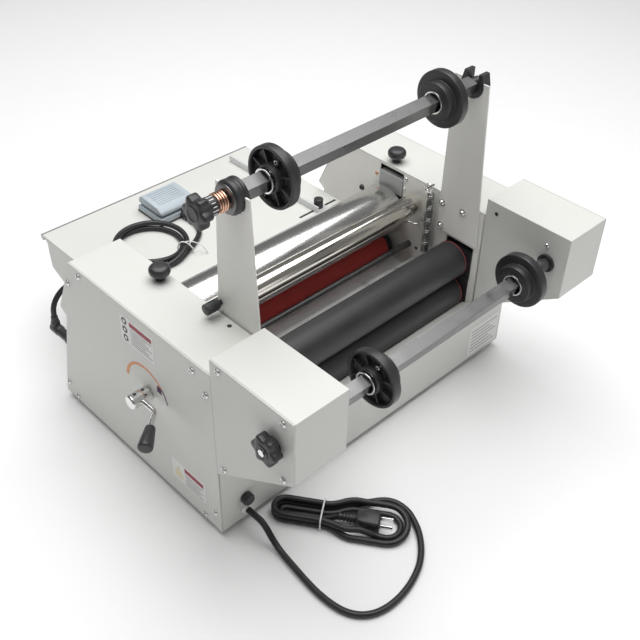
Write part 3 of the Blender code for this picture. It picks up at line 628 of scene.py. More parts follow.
@dataclass
class Studio:
    """Pale floor, soft lights and the camera."""

    eye: tuple[float, float, float] = (-0.697, -0.588, 0.930)
    heading: float = -44.95
    tilt: float = 39.54
    roll: float = 1.71
    lens: float = 53.83
    floor_colour: tuple[float, float, float] = (0.95, 0.95, 0.95)
    sky: float = 0.17

    def build(self) -> None:
        """Sets up everything that isn't the machine."""
        bpy.context.scene.view_settings.view_transform = "Standard"
        self.camera()
        self.floor()
        self.lights()

    def camera(self) -> None:
        """Places the camera."""
        turn, down, roll = (math.radians(a) for a in (self.heading, self.tilt, self.roll))
        ahead = Vector((-math.sin(turn) * math.cos(down), math.cos(turn) * math.cos(down), -math.sin(down)))
        level = Vector((math.cos(turn), math.sin(turn), 0))
        above = level.cross(ahead)
        right = level * math.cos(roll) + above * math.sin(roll)
        up = above * math.cos(roll) - level * math.sin(roll)
        lens = bpy.data.cameras.new("camera")
        lens.lens = self.lens
        lens.sensor_width = 36.0
        camera = bpy.data.objects.new("camera", lens)
        bpy.context.scene.collection.objects.link(camera)
        turned = Matrix((right, up, -ahead)).transposed().to_4x4()
        camera.matrix_world = Matrix.Translation(at(*self.eye)) @ turned
        bpy.context.scene.camera = camera

    def floor(self) -> None:
        """Lays a pale floor."""
        half = 6.0
        shape = bmesh.new()
        bmesh.ops.create_grid(shape, x_segments=1, y_segments=1, size=half)
        floor = from_bmesh("floor", shape)
        floor.location = (0, 0, -0.0005)
        pale = Finish("studio_floor", self.floor_colour, 0.75, mottle=0.004, depth=0.00001)
        floor.data.materials.append(pale.material())

    def lights(self) -> None:
        """Hangs the soft lights and sets the sky."""
        world = bpy.data.worlds.new("studio_sky")
        world.use_nodes = True
        sky = world.node_tree.nodes["Background"]
        sky.inputs["Color"].default_value = (1.0, 1.0, 1.0, 1.0)
        sky.inputs["Strength"].default_value = self.sky
        bpy.context.scene.world = world
        panels = (
            ("overhead_light", (0.15, 0.30, 2.3), (0.0, 0.1, 0.1), 2.6, 74.0),
            ("front_light", (0.5, -2.0, 0.55), (0.0, 0.0, 0.1), 1.1, 3.0),
        )
        for name, place, target, size, power in panels:
            lamp = bpy.data.lights.new(name, "AREA")
            lamp.shape = "SQUARE"
            lamp.size = size
            lamp.energy = power
            light = bpy.data.objects.new(name, lamp)
            bpy.context.scene.collection.objects.link(light)
            light.location = at(*place)
            light.rotation_euler = (at(*target) - light.location).to_track_quat("-Z", "Y").to_euler()


# Cords


@dataclass(frozen=True)
class Lap:
    """One turn of the hank: the lane and layer that it has and the next ones, and where it changes over."""

    lane: float
    layer: float
    next_lane: float
    next_layer: float
    shift: tuple[float, float] = (0.055, 0.098)
    drop: tuple[float, float] = (0.092, 0.126)
    climbs_in_fold: bool = False


@dataclass
class MainsLead:
    """Mains cord: along the floor, three turns in a tied hank, and the plug inside its loop."""

    radius: float = 0.00405
    floor: float = -0.010
    hank_left: tuple[float, float] = (-0.184, -0.023)
    hank_direction: tuple[float, float] = (0.585, -0.811)
    span: float = 0.126
    waist: float = 0.0135
    loop: float = 0.0260
    lane_pitch: float = 0.00815
    tie_at: float = 0.047
    plug_start: float = 0.0667
    laps: tuple[Lap, ...] = (Lap(1, 0, 1, 1, climbs_in_fold=True), Lap(1, 1, 0, 0))

    @property
    def rest(self) -> float:
        """The height of the cord's middle where it lies on the floor."""
        return self.floor + self.radius + 0.0002

    def route(self) -> list[tuple[float, float, float]]:
        """The cord's own points from the gland to the hank.

        Returns:
            Points in machine coordinates.
        """
        rest = self.rest
        return [
            (-0.2273, -0.0016, 0.0150), (-0.2273, -0.0110, 0.0150), (-0.2273, -0.0210, 0.0150),
            (-0.2273, -0.0292, 0.0148), (-0.2276, -0.0380, 0.0105),
            (-0.2282, -0.0480, 0.0025), (-0.2292, -0.0610, -0.0040), (-0.2310, -0.0760, rest),
            (-0.2330, -0.0930, rest), (-0.2352, -0.1120, rest), (-0.2368, -0.1350, rest),
            (-0.2357, -0.1570, rest), (-0.2315, -0.1750, rest), (-0.2230, -0.1890, rest),
            (-0.2105, -0.1985, rest), (-0.1945, -0.2035, rest), (-0.1755, -0.2045, rest),
            (-0.1560, -0.2020, rest), (-0.1385, -0.1970, rest), (-0.1225, -0.1900, rest),
            (-0.1080, -0.1800, rest), (-0.0955, -0.1680, rest), (-0.0855, -0.1550, rest),
            (-0.0780, -0.1410, rest), (-0.0735, -0.1270, rest), (-0.0735, -0.1130, rest),
            (-0.0775, -0.1018, rest), (-0.0850, -0.0935, rest), (-0.0950, -0.0870, rest),
        ]

    def hank_point(self, along: float, across: float, height: float) -> Vector:
        """A point in the hank's own frame.

        Args:
            along: Distance from the left fold's centre along the runs.
            across: Distance to the side.
            height: Height in machine coordinates.

        Returns:
            The point in machine coordinates.
        """
        ahead = Vector(self.hank_direction).normalized()
        place = Vector(self.hank_left) + ahead * along + Vector((-ahead.y, ahead.x)) * across
        return Vector((*place, height))

    def lane_reach(self, along: float, lane: float) -> float:
        """How far a lane lies from the hank's middle line.

        Args:
            along: Distance along the runs.
            lane: 0 for the inner lane and 1 for the outer one.

        Returns:
            The distance, which grows from the tied end to the loop.
        """
        outer = self.waist + (self.loop - self.waist) * eased_step((along - 0.052) / 0.033)
        return outer - self.lane_pitch * (1 - lane)

    def lap_points(self, lap: Lap, first: float) -> list[Vector]:
        """One turn: out to the tied end, round it, back, and round the loop.

        Args:
            lap: The turn.
            first: Where along the runs it starts.

        Returns:
            Points in machine coordinates.
        """
        pitch = 2.02 * self.radius
        runs, folds = 12, 9
        found = []
        for i in range(runs):
            along = first * (1 - i / runs)
            found.append(self.hank_point(along, self.lane_reach(along, lap.lane),
                                         self.rest + pitch * lap.layer))
        for i in range(folds):
            turn = math.pi * i / folds
            reach = self.lane_reach(0, lap.lane)
            found.append(self.hank_point(-reach * math.sin(turn), reach * math.cos(turn),
                                         self.rest + pitch * lap.layer))
        for i in range(runs):
            along = self.span * i / runs
            lane, layer = lap.lane, lap.layer
            if not lap.climbs_in_fold:
                start, end = lap.shift
                lane += (lap.next_lane - lane) * eased_step((along - start) / (end - start))
                start, end = lap.drop
                layer += (lap.next_layer - layer) * eased_step((along - start) / (end - start))
            found.append(self.hank_point(along, -self.lane_reach(along, lane), self.rest + pitch * layer))
        for i in range(folds):
            turn = math.pi * i / folds
            layer = lap.next_layer
            if lap.climbs_in_fold:
                layer = lap.layer + (lap.next_layer - lap.layer) * eased_step(i / folds)
            reach = self.lane_reach(self.span, lap.next_lane)
            found.append(self.hank_point(self.span + reach * math.sin(turn), -reach * math.cos(turn),
                                         self.rest + pitch * layer))
        return found

    def winding(self) -> list[Vector]:
        """The hank's turns and the end that leads to the plug.

        Returns:
            Points in machine coordinates.
        """
        found = [self.hank_point(0.0895, 0.0290, self.rest)]
        found += self.lap_points(self.laps[0], 0.074)
        found += self.lap_points(self.laps[1], self.span)
        for i in range(12):
            along = self.span * (1 - i / 12)
            found.append(self.hank_point(along, self.lane_reach(along, 0), self.rest))
        for i in range(9):
            turn = math.pi * i / 9
            reach = self.lane_reach(0, 0)
            found.append(self.hank_point(-reach * math.sin(turn), reach * math.cos(turn), self.rest))
        found += [
            self.hank_point(0.006, -0.0048, self.rest), self.hank_point(0.016, -0.0038, self.rest),
            self.hank_point(0.030, -0.0034, self.rest), self.hank_point(0.043, -0.0033, self.rest),
            self.hank_point(0.053, -0.0027, self.rest + 0.0007),
            self.hank_point(0.0602, -0.0012, self.rest + 0.0027),
            self.hank_point(self.plug_start, 0, self.floor + 0.0092),
        ]
        return found

    def build(self) -> None:
        """Makes the cord, its plug, its tie and its gland."""
        points = smooth([*map(Vector, self.route()), *self.winding()], 0.0045)
        cord = fit(wire("mains_lead", points, self.radius), SHEATH, Body.FRAME,
                   ("mains_cord", "mains_hank"))
        plug = self.plug()
        pins = self.pins()
        self.tie()
        self.gland()

    def plug(self) -> bpy.types.Object:
        """Moulded plug body with its ribbed strain relief.

        Returns:
            The plug.
        """
        outline = [(0.0885, -0.0070), (0.0935, -0.0094), (0.0995, -0.0104), (0.1185, -0.0112),
                   (0.1185, 0.0112),
                   (0.0995, 0.0104), (0.0935, 0.0094), (0.0885, 0.0070)]
        corners = [tuple(self.hank_point(*point, 0).xy) for point in outline]
        body = slab("plug_body", corners, (self.floor + 0.0004, self.floor + 0.0180), Along.Z, 0.0028, 4)
        ahead = Vector((*Vector(self.hank_direction).normalized(), 0))
        ribs: Profile = [(0.0, 0.0), (0.0047, 0.0)]
        for i in range(5):
            start = 0.002 + 0.0041 * i
            reach = 0.0049 + 0.00034 * i
            ribs += [(reach, start), (reach, start + 0.0022), (reach - 0.0009, start + 0.0026),
                     (reach - 0.0009, start + 0.0039)]
        ribs += [(0.0066, 0.0230), (0.0, 0.0230)]
        centre = at(*self.hank_point(self.plug_start, 0, self.floor + 0.0092))
        relief = lathe("plug_relief", ribs, centre, ahead, 32, ease=0.0003)
        whole = joined("mains_plug_body", [body, relief])
        return fit(whole, MOULDED_BLACK, Body.FRAME, ("mains_plug",))

    def pins(self) -> bpy.types.Object:
        """The plug's flat pins.

        Returns:
            The pins as one piece.
        """
        centre = self.floor + 0.0092
        parts = []
        for across, half in ((-0.0062, 0.0033), (0.0062, 0.0033)):
            flat = [(0.1165, across - 0.0009), (0.1340, across - 0.0009), (0.1340, across + 0.0009),
                    (0.1165, across + 0.0009)]
            corners = [tuple(self.hank_point(*point, 0).xy) for point in flat]
            parts.append(slab("pin", corners, (centre - half, centre + half), Along.Z, 0.0004))
        return fit(joined("mains_plug_pins", parts), CHROME, Body.FRAME)

    def tie(self) -> None:
        """White strap round the hank's waist."""
        reach, top, bottom = 0.0187, self.floor + 0.0178, self.floor + 0.0003
        loop = [(-reach, bottom), (-reach - 0.0006, (top + bottom) / 2), (-reach + 0.0015, top - 0.0004),
                (-0.008, top + 0.0004), (0.008, top + 0.0004), (reach - 0.0015, top - 0.0004),
                (reach + 0.0006, (top + bottom) / 2), (reach, bottom)]
        points = smooth([self.hank_point(self.tie_at, across, height) for across, height in loop], 0.003)
        strap = wire("hank_tie", points, 0.0011)
        strap.data.bevel_resolution = 2
        fit(strap, NYLON, Body.FRAME)

    def gland(self) -> None:
        """Milky bushing where the cord leaves the front panel."""
        profile = [(0.0042, 0.0050), (0.0054, 0.0048), (0.0060, 0.0022), (0.0076, 0.0018), (0.0076, 0.0002),
                   (0.0042, 0.0002)]
        fit(lathe("gland_bushing", profile, at(-0.2273, 0, 0.015), (0, -1, 0), 48, closed=True, ease=0.0004),
            NYLON, Body.FRAME, ("cord_gland",))


@dataclass
class FootSwitch:
    """Foot switch stored on the feed table, with its tied lead and angled plug."""

    radius: float = 0.00375
    table: float = 0.150
    coil_centre: tuple[float, float] = (-0.098, 0.352)
    coil_outer: float = 0.0527
    coil_inner: float = 0.0450
    enter: float = -60.0
    leave: float = -120.0

    @property
    def rest(self) -> float:
        """The height of the lead's middle where it lies on the table."""
        return self.table + self.radius + 0.0002

    def start_route(self) -> list[tuple[float, float, float]]:
        """The lead's own points from the switch to the coil.

        Returns:
            Points in machine coordinates.
        """
        rest = self.rest
        return [
            (-0.0140, 0.3855, 0.1560), (-0.0140, 0.3780, 0.1556), (-0.0140, 0.3670, 0.1546),
            (-0.0150, 0.3560, rest), (-0.0180, 0.3450, rest), (-0.0240, 0.3350, rest),
            (-0.0320, 0.3275, rest), (-0.0415, 0.3212, rest), (-0.0478, 0.3176, rest),
        ]

    def end_route(self) -> list[tuple[float, float, float]]:
        """The lead's own points from the coil to the angled plug.

        Returns:
            Points in machine coordinates.
        """
        rest = self.rest
        return [
            (-0.1508, 0.3217, rest), (-0.1590, 0.3263, rest), (-0.1690, 0.3318, rest),
            (-0.1800, 0.3375, rest), (-0.1920, 0.3437, rest + 0.0002), (-0.2040, 0.3500, 0.1538),
            (-0.2160, 0.3560, 0.1520), (-0.2270, 0.3607, 0.1475), (-0.2370, 0.3635, 0.1400),
            (-0.2460, 0.3640, 0.1300), (-0.2508, 0.3634, 0.1195), (-0.2520, 0.3630, 0.1088),
        ]

    def coil(self) -> list[Vector]:
        """Two turns: one inwards on the table, and one outwards on top of it.

        Returns:
            Points in machine coordinates.
        """
        sweep = self.enter - self.leave + 2 * 360
        count = 44
        found = []
        for i in range(count + 1):
            share = i / count
            turn = math.radians(self.enter - sweep * share)
            inwards = 1 - abs(2 * share - 1)
            reach = self.coil_outer + (self.coil_inner - self.coil_outer) * eased_step(inwards)
            climb = eased_step((share - 0.42) / 0.14) - eased_step((share - 0.90) / 0.10)
            height = self.rest + 2 * self.radius * climb
            x, y = self.coil_centre
            found.append(Vector((x + reach * math.cos(turn), y + reach * math.sin(turn), height)))
        return found

    def build(self) -> None:
        """Makes the switch, its lead, tie and plug."""
        points = smooth([*map(Vector, self.start_route()), *self.coil(), *map(Vector, self.end_route())],
                        0.004)
        lead = fit(wire("pedal_lead", points, self.radius), SHEATH, Body.FRAME,
                   ("pedal_cord_a", "pedal_coil", "pedal_cord_b"))
        plug = self.plug()
        self.tie()
        self.shells()

    def plug(self) -> bpy.types.Object:
        """Angled plug on the cabinet's feed-side face, with its socket ring.

        Returns:
            The plug.
        """
        x, y, z = self.end_route()[-1]
        height = 0.088
        body = lathe("angled_body", [(0, 0.0505), (0.0060, 0.0505), (0.0074, 0.0480), (0.0074, 0.0330),
                                     (0.0066, 0.0320), (0.0066, 0.0120), (0.0075, 0.0110), (0.0075, 0.0016),
                                     (0.0, 0.0010)], at(x, 0.3195, height), (0, 1, 0), 40)
        elbow = lathe("angled_elbow", [(0, 0.0200), (0.0046, 0.0200), (0.0050, 0.0140), (0.0062, 0.0100),
                                       (0.0062, 0)], at(x, y, height), (0, 0, 1), 40)
        return fit(joined("pedal_plug_body", [body, elbow]), MOULDED_BLACK, Body.FRAME,
                   ("pedal_plug",))

    def tie(self) -> None:
        """White wire tie round the coil, with a short tail."""
        x, y = self.coil_centre
        turn = math.radians(-50)
        out = Vector((math.cos(turn), math.sin(turn), 0))
        centre = Vector((x, y, 0)) + out * 0.0488
        ring = [(-0.0082, 0.1510), (-0.0088, 0.1580), (-0.0040, 0.1664), (0.0040, 0.1664), (0.0125, 0.1580),
                (0.0120, 0.1510)]
        points = [Vector((centre.x, centre.y, height)) + out * reach for reach, height in ring]
        fit(wire("coil_tie", smooth(points, 0.002), 0.0010), NYLON, Body.FRAME)
        top = centre + Vector((0, 0, 0.1668))
        tail = [top, top + Vector((0.006, -0.004, 0.0010)), top + Vector((0.013, -0.010, -0.001)),
                top + Vector((0.019, -0.017, -0.006)), top + Vector((0.023, -0.024, -0.0150))]
        fit(wire("coil_tie_tail", smooth(tail, 0.002), 0.0008), NYLON, Body.FRAME)

    def shells(self) -> None:
        """Base tub, ridged treadle and strain relief."""
        first, last = low("pedal_base"), high("pedal_base")
        base = block("pedal_tub", first, last, 0.0015)
        fit(base, BLUE_GREY, Body.FRAME, ("pedal_base",))
        skirt = block("pedal_skirt", (first.x - 0.0006, first.y - 0.0006, first.z),
                      (last.x + 0.0006, last.y + 0.0006, first.z + 0.0028), 0.0006)
        fit(skirt, MOULDED_BLACK, Body.FRAME)
        y_low, y_high = low("pedal_treadle").y, high("pedal_treadle").y
        x_low, x_high = low("pedal_treadle").x, high("pedal_treadle").x
        pad = [(y_low, 0.1645), (y_low, 0.1700), (y_low + 0.009, 0.1758), (y_high - 0.007, 0.1783),
               (y_high, 0.1730), (y_high, 0.1650)]
        parts = [slab("treadle_body", pad, (x_low, x_high), Along.X, 0.0022, 4)]
        for i in range(7):
            y = y_low + 0.013 + 0.0048 * i
            z = 0.1760 + (0.1783 - 0.1758) * i / 7
            parts.append(block("ridge", (x_low + 0.008, y, z - 0.001),
                               (x_high - 0.008, y + 0.0020, z + 0.0009),
                               0.0005))
        fit(joined("pedal_pad", parts), BLUE_GREY, Body.TREADLE, ("pedal_treadle",))
        relief = [(0.0039, -0.0040), (0.0052, -0.0040), (0.0052, -0.0005), (0.0050, 0.0), (0.0048, 0.0045),
                  (0.0045, 0.0125), (0.0039, 0.0130)]
        x, y, z = self.start_route()[0]
        fit(lathe("pedal_relief", relief, at(x, y, z), (0, -1, -0.03), 32, closed=True, ease=0.0003),
            MOULDED_BLACK, Body.FRAME)


# Body


@dataclass
class Casing:
    """Sheet-metal body, its screws, plates and controls."""

    sheet_nodes: tuple[str, ...] = (
        "side_panel_left", "side_panel_right", "cabinet_cover_left", "cabinet_cover_right", "front_box_left",
        "front_box_right", "front_box_cover_left", "front_box_cover_right", "feed_table", "chassis_pan",
    )
    wall_nodes: tuple[str, ...] = ("side_wall_left", "side_wall_right", "shaft_bracket_left",
                                   "shaft_bracket_right")
    panel_screws: tuple[tuple[float, float], ...] = (
        (0.251, 0.243), (0.280, 0.218), (0.034, 0.240), (0.0125, 0.219), (0.326, 0.022), (0.308, 0.008),
        (0.030, 0.008), (0.010, 0.028), (-0.0105, 0.268), (-0.110, 0.268), (-0.012, 0.121), (-0.110, 0.187),
    )
    label_x: float = -0.2650

    def build(self) -> None:
        """Dresses the sheet metal and adds what is fastened to it."""
        for node in self.sheet_nodes:
            dress(frame["nodes"][node], POWDER_COAT)
        # The inner walls and brackets take the lightened coat, which is painted light.
        for node in self.wall_nodes:
            dress(frame["nodes"][node], WALL_COAT_PAINTED_LIGHT)
        dress(frame["nodes"]["guide_plate"], ZINC)
        dress(frame["nodes"]["drive_motor"], ZINC)
        for node in ("foot_bar_front", "foot_bar_rear"):
            dress(frame["nodes"][node], GROUND_RUBBER)
        for side, word in SIDES:
            heads = [self.screw((side * 0.265, y, z), (side, 0, 0)) for y, z in self.panel_screws]
            fit(joined(f"cover_screws_{word}", heads), CHROME, Body.FRAME)
        self.fuse()
        self.side_plates()
        self.front_plate()
        self.controls()

    @staticmethod
    def screw(place: Point, facing: Point, reach: float = 0.0041, rise: float = 0.0026) -> bpy.types.Object:
        """A pan-head screw with a socket.

        Args:
            place: Where it meets the sheet, in machine coordinates.
            facing: The way that its head points.
            reach: The head's radius.
            rise: The head's height.

        Returns:
            The screw head.
        """
        socket = reach * 0.48
        profile = [(0, rise * 0.30), (socket, rise * 0.30), (socket, rise), (reach * 0.72, rise * 0.96),
                   (reach, rise * 0.45), (reach, 0.0001)]
        return lathe("screw_head", profile, at(*place), facing, 24, ease=0.0003)

    def fuse(self) -> None:
        """Fuse holder with a slotted cap."""
        cap = [(0, 0.0080), (0.0058, 0.0085), (0.0066, 0.0095), (0.0082, 0.0075), (0.0082, 0.0003),
               (0.0060, 0.0003),
               (0.0060, -0.022), (0, -0.022)]
        holder = lathe("fuse_holder", cap, at(-0.2274, 0, 0.0353), (0, -1, 0), 48)
        fit(holder, MOULDED_BLACK, Body.FRAME, ("fuse_cap",))

    def plate(self, name: str, first: Point, last: Point, finish: Finish, rise: float) -> None:
        """A thin plate on the left side panel.

        Args:
            name: The plate's name.
            first: Its (Y, Z) corner.
            last: Its opposite corner.
            finish: Its finish.
            rise: How far it stands proud.
        """
        face = self.label_x
        plate = block(name, (face - rise, first[0], first[1]), (face - 0.00005, last[0], last[1]))
        fit(plate, finish, Body.FRAME)

    def side_plates(self) -> None:
        """Two plain data plates on the left side, with bars in place of lettering."""
        self.plate("upper_plate", (0.105, 0.199), (0.169, 0.239), PAPER, 0.0003)
        self.plate("upper_plate_bar", (0.108, 0.2290), (0.150, 0.2350), CRIMSON, 0.0005)
        for i in range(7):
            z = 0.2030 + 0.0036 * i
            self.plate(f"upper_plate_line_{i}", (0.109 + 0.006 * (i % 3), z), (0.149, z + 0.0012), GREY_INK,
                       0.0005)
        for i, z in enumerate((0.2065, 0.2190, 0.2315)):
            disc = lathe(f"upper_plate_disc_{i}", [(0, 0.0005), (0.0048, 0.0005), (0.0048, 0.0)],
                         at(self.label_x, 0.1600, z), (-1, 0, 0), 32, ease=0)
            fit(disc, INK, Body.FRAME)
            core = lathe(f"upper_plate_core_{i}", [(0, 0.0006), (0.0022, 0.0006), (0.0022, 0.0)],
                         at(self.label_x, 0.1600, z), (-1, 0, 0), 24, ease=0)
            fit(core, PAPER, Body.FRAME)
        self.plate("lower_plate", (0.028, 0.027), (0.092, 0.062), PAPER, 0.0003)
        patch = slab("lower_plate_patch", [(0.070, 0.033), (0.089, 0.033), (0.0795, 0.0545)],
                     (self.label_x - 0.0005, self.label_x - 0.0001), Along.X)
        fit(patch, CREAM, Body.FRAME)
        self.plate("lower_plate_bar", (0.031, 0.0515), (0.067, 0.0580), CRIMSON, 0.0005)
        for i in range(5):
            z = 0.0300 + 0.0040 * i
            self.plate(f"lower_plate_line_{i}", (0.032 + 0.006 * (i % 2), z), (0.066, z + 0.0013), GREY_INK,
                       0.0005)

    def front_plate(self) -> None:
        """Plain rating plate on the front panel."""
        plate = block("rating_plate", (0.194, -0.0003, 0.006), (0.260, -0.00005, 0.058))
        fit(plate, PAPER, Body.FRAME)
        for i in range(7):
            z = 0.011 + 0.0062 * i
            line = block(f"rating_line_{i}", (0.198, -0.0005, z),
                         (0.255 - 0.008 * (i % 3), -0.0001, z + 0.0018))
            fit(line, GREY_INK, Body.FRAME)

    def controls(self) -> None:
        """Display, keys and lamps on the feed-side strip, and the rocker switch."""
        strip = frame["nodes"]["control_panel"]
        dress(strip, MOULDED_BLACK)
        dress(frame["nodes"]["power_rocker"], MOULDED_BLACK)
        top, knee = Vector((0.272, 0.2523)), Vector((0.292, 0.207))
        down = (knee - top).normalized()
        out = Vector((-down.y, down.x))
        face = top + out * 0.0023

        def button(name: str, x: tuple[float, float], s: tuple[float, float], finish: Finish,
                   rise: float) -> None:
            """A key or window on the strip.

            Args:
                name: Its name.
                x: Its span across the strip.
                s: Its span down the strip.
                finish: Its finish.
                rise: How far it stands proud.
            """
            corners = [face + down * s[0], face + down * s[1], face + down * s[1] + out * rise,
                       face + down * s[0] + out * rise]
            key = slab(name, [tuple(c) for c in corners], x, Along.X, 0.0004)
            fit(key, finish, Body.FRAME)

        button("display", (0.202, 0.232), (0.009, 0.022), DISPLAY, 0.0006)
        for row in range(2):
            for column in range(4):
                x = 0.202 + 0.0135 * column
                s = 0.026 + 0.0085 * row
                button(f"key_{row}_{column}", (x, x + 0.0095), (s, s + 0.0060), KEY_GREY, 0.0012)
        for i in range(3):
            x = 0.238 + 0.006 * i
            button(f"lamp_{i}", (x, x + 0.0026), (0.013, 0.0156), LED_RED, 0.0008)


# Rollers


@dataclass
class RollerSet:
    """The five rollers with their end details, the blocks that they run in and the wall hardware."""

    face: float = 0.183
    end: float = 0.198
    heat_axis: tuple[float, float] = (0.170, 0.186)
    silicone_axis: tuple[float, float] = (0.170, 0.1257)
    guide_axis: tuple[float, float] = (0.115, 0.220)
    pull_axes: tuple[tuple[float, float], tuple[float, float]] = ((0.043, 0.164), (0.043, 0.1121))

    def symmetric(self, half: Profile) -> Profile:
        """Mirrors half a profile, given from its end to its middle."""
        return half + [(radius, -distance) for radius, distance in half[::-1]]

    def turned(self, name: str, half: Profile, axis: Point, finish: Finish, slot: str, body: str,
               replaced: Iterable[str] = (), ease: float = 0.0012) -> None:
        """A roller about an X axis.

        Args:
            name: Its name.
            half: Its profile from its end to its middle.
            axis: The (Y, Z) of its axis.
            finish: Its finish.
            slot: The record's material slot, which is not used.
            body: The body that it rides on.
            replaced: The nodes that it stands for.
            ease: How far corners are rounded.
        """
        piece = lathe(name, self.symmetric(half), at(0, *axis), (1, 0, 0), 128, ease=ease)
        fit(piece, finish, body, replaced)

    def build(self) -> None:
        """Makes the rollers and dresses what holds them."""
        face, end = self.face, self.end
        self.turned("heated_roller", [(0, 0.204), (0.008, 0.204), (0.008, face - 0.003),
                                      (0.026, face - 0.003),
                                      (0.028, face), (0.036, face)],
                    self.heat_axis, POLISHED_ROLLER, "chrome", "heat_roller", ("heat_roller",))
        self.turned("silicone_cover", [(0.0205, 0.172), (0.024, 0.172)], self.silicone_axis, RED_SILICONE,
                    "red_silicone", "silicone_roller", ("silicone_roller",))
        self.turned("silicone_core", [(0, end), (0.006, end), (0.006, face), (0.0215, face), (0.0215, 0.1718),
                                      (0.012, 0.1718)], self.silicone_axis, MOULDED_BLACK, "black_plastic",
                    "silicone_roller")
        self.turned("guide_tube", [(0, end), (0.004, end), (0.004, 0.179), (0.0128, 0.179), (0.0134, 0.181),
                                   (0.0145, 0.181)], self.guide_axis, WARM_CHROME, "chrome", "guide_roller",
                    ("guide_roller",), 0.0007)
        for word, axis in zip(("upper", "lower"), self.pull_axes):
            node = f"pull_roller_{word}"
            self.turned(f"{node}_cover", [(0, end), (0.006, end), (0.006, face - 0.002),
                                          (0.019, face - 0.002),
                                          (0.020, face), (0.0258, face)], axis, GROUND_RUBBER,
                                          "black_rubber", node,
                        (node,), 0.001)
            for side, hand in SIDES:
                ring = [(0.0205, 0.0001), (0.02585, 0.0001), (0.02585, 0.0009), (0.0205, 0.0009)]
                piece = lathe(f"{node}_ring_{hand}", ring, at(side * face, *axis), (side, 0, 0), 64,
                              closed=True,
                              ease=0.0002)
                fit(piece, DULL_RED, node)
        self.blocks()
        self.wall_hardware()
        self.spring()

    def blocks(self) -> None:
        """Dresses the sliding blocks, and backs the lower part of the pull slots in black."""
        banded = BandedFinish("lift_block_bands", (0.025, 0.025, 0.026), 0.4, above=(0.42, 0.43, 0.42),
                              height=at(0, 0, 0.2130).z, edge=0.0005)
        for side, word in SIDES:
            dress(frame["nodes"][f"lift_block_{word}"], banded)
            dress(frame["nodes"][f"pull_block_{word}"], MOULDED_BLACK)
            notch = arc(self.pull_axes[1], 0.0068, 0, -180, 13)
            outline = [(0.0145, 0.0955), (0.0595, 0.0955), (0.0595, 0.1440), (notch[0][0], 0.1440), *notch,
                       (notch[-1][0], 0.1440), (0.0145, 0.1440)]
            backing = slab(f"slot_backing_{word}", outline, (side * 0.1890, side * 0.1899), Along.X)
            fit(backing, MOULDED_BLACK, Body.FRAME)

    def wall_hardware(self) -> None:
        """Screws on the walls, tall brackets and right front box, and flat black discs of painted shade over
        two holes.
        """
        for side, word in SIDES:
            inner = side * 0.190
            bright = [Casing.screw((inner, 0.1405, 0.243), (-side, 0, 0), 0.0030, 0.0022),
                      Casing.screw((inner, 0.1425, 0.227), (-side, 0, 0), 0.0022, 0.0016)]
            bracket = side * 0.1865
            for y, z in ((0.0717, 0.240), (0.0364, 0.2403), (0.0703, 0.2046)):
                washer = lathe("washer", [(0.0015, 0.0001), (0.0052, 0.0001), (0.0052, 0.0009),
                                          (0.0015, 0.0009)],
                               at(bracket, y, z), (-side, 0, 0), 32, closed=True, ease=0.0002)
                bright += [washer, Casing.screw((bracket - side * 0.0008, y, z), (-side, 0, 0), 0.0038,
                                                0.0034)]
            box_face = side * 0.190
            bright.append(Casing.screw((box_face, -0.093, 0.254), (-side, 0, 0), 0.0032, 0.0024))
            fit(joined(f"inner_screws_{word}", bright), CHROME, Body.FRAME)
            copper = Casing.screw((inner, 0.195, 0.229), (-side, 0, 0), 0.0030, 0.0020)
            fit(joined(f"earth_screw_{word}", [copper]), COPPER, Body.FRAME)
            # Dark pieces: a black screw, and two flat black discs of painted shade, one inside a hole in the
            # wall and one inside a hole in the front box.
            dark = [Casing.screw((inner, 0.2217, 0.1933), (-side, 0, 0), 0.0042, 0.0032),
                    lathe("pin_hole_shade", [(0, 0.0004), (0.0026, 0.0004), (0.0026, 0.0001)],
                          at(inner, 0.111, 0.143),
                          (-side, 0, 0), 24, ease=0)]
            dark.append(lathe("box_hole_shade", [(0, 0.0004), (0.0026, 0.0004), (0.0026, 0.0001)],
                              at(box_face, -0.013, 0.261), (-side, 0, 0), 24, ease=0))
            fit(joined(f"dark_bolt_and_hole_shade_{word}", dark), MOULDED_BLACK, Body.FRAME)

    def spring(self) -> None:
        """Close-wound lift spring with its eye, post and hook wire on the right wall."""
        x, y, z_low, z_high = 0.180, 0.088, 0.1535, 0.2475
        turns, sides, reach = 34, 12, 0.0044
        count = turns * sides
        coil = [(x + reach * math.cos(2 * math.pi * i / sides), y + reach * math.sin(2 * math.pi * i / sides),
                 z_low + (z_high - z_low) * i / count) for i in range(count + 1)]
        spring = as_mesh(wire("lift_spring_coil", coil, 0.00120, 2))
        fit(spring, SPRING_STEEL, Body.FRAME, ("lift_spring_right",))
        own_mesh(spring)
        eye = [(x, y + 0.0045 + 0.0058 * math.cos(math.radians(a)),
                0.2545 + 0.0068 * math.sin(math.radians(a)))
               for a in range(-100, 261, 20)]
        fit(wire("spring_eye", smooth(eye, 0.0015), 0.0010), CHROME, Body.FRAME)
        post = lathe("spring_post", [(0, 0.0125), (0.0030, 0.0125), (0.0030, 0.0105), (0.0019, 0.0100),
                                     (0.0019, 0)],
                     at(0.190, y + 0.004, 0.2560), (-1, 0, 0), 24)
        fit(post, CHROME, Body.FRAME)
        hook = [(0.1885, 0.134, 0.180), (0.183, 0.133, 0.181), (0.180, 0.128, 0.184), (0.1795, 0.120, 0.188),
                (0.1795, 0.111, 0.1895), (0.180, 0.103, 0.193), (0.180, 0.0985, 0.199),
                (0.180, 0.0975, 0.205)]
        fit(wire("hook_wire", smooth(hook, 0.002), 0.0013), CHROME, Body.FRAME)


# Film shafts


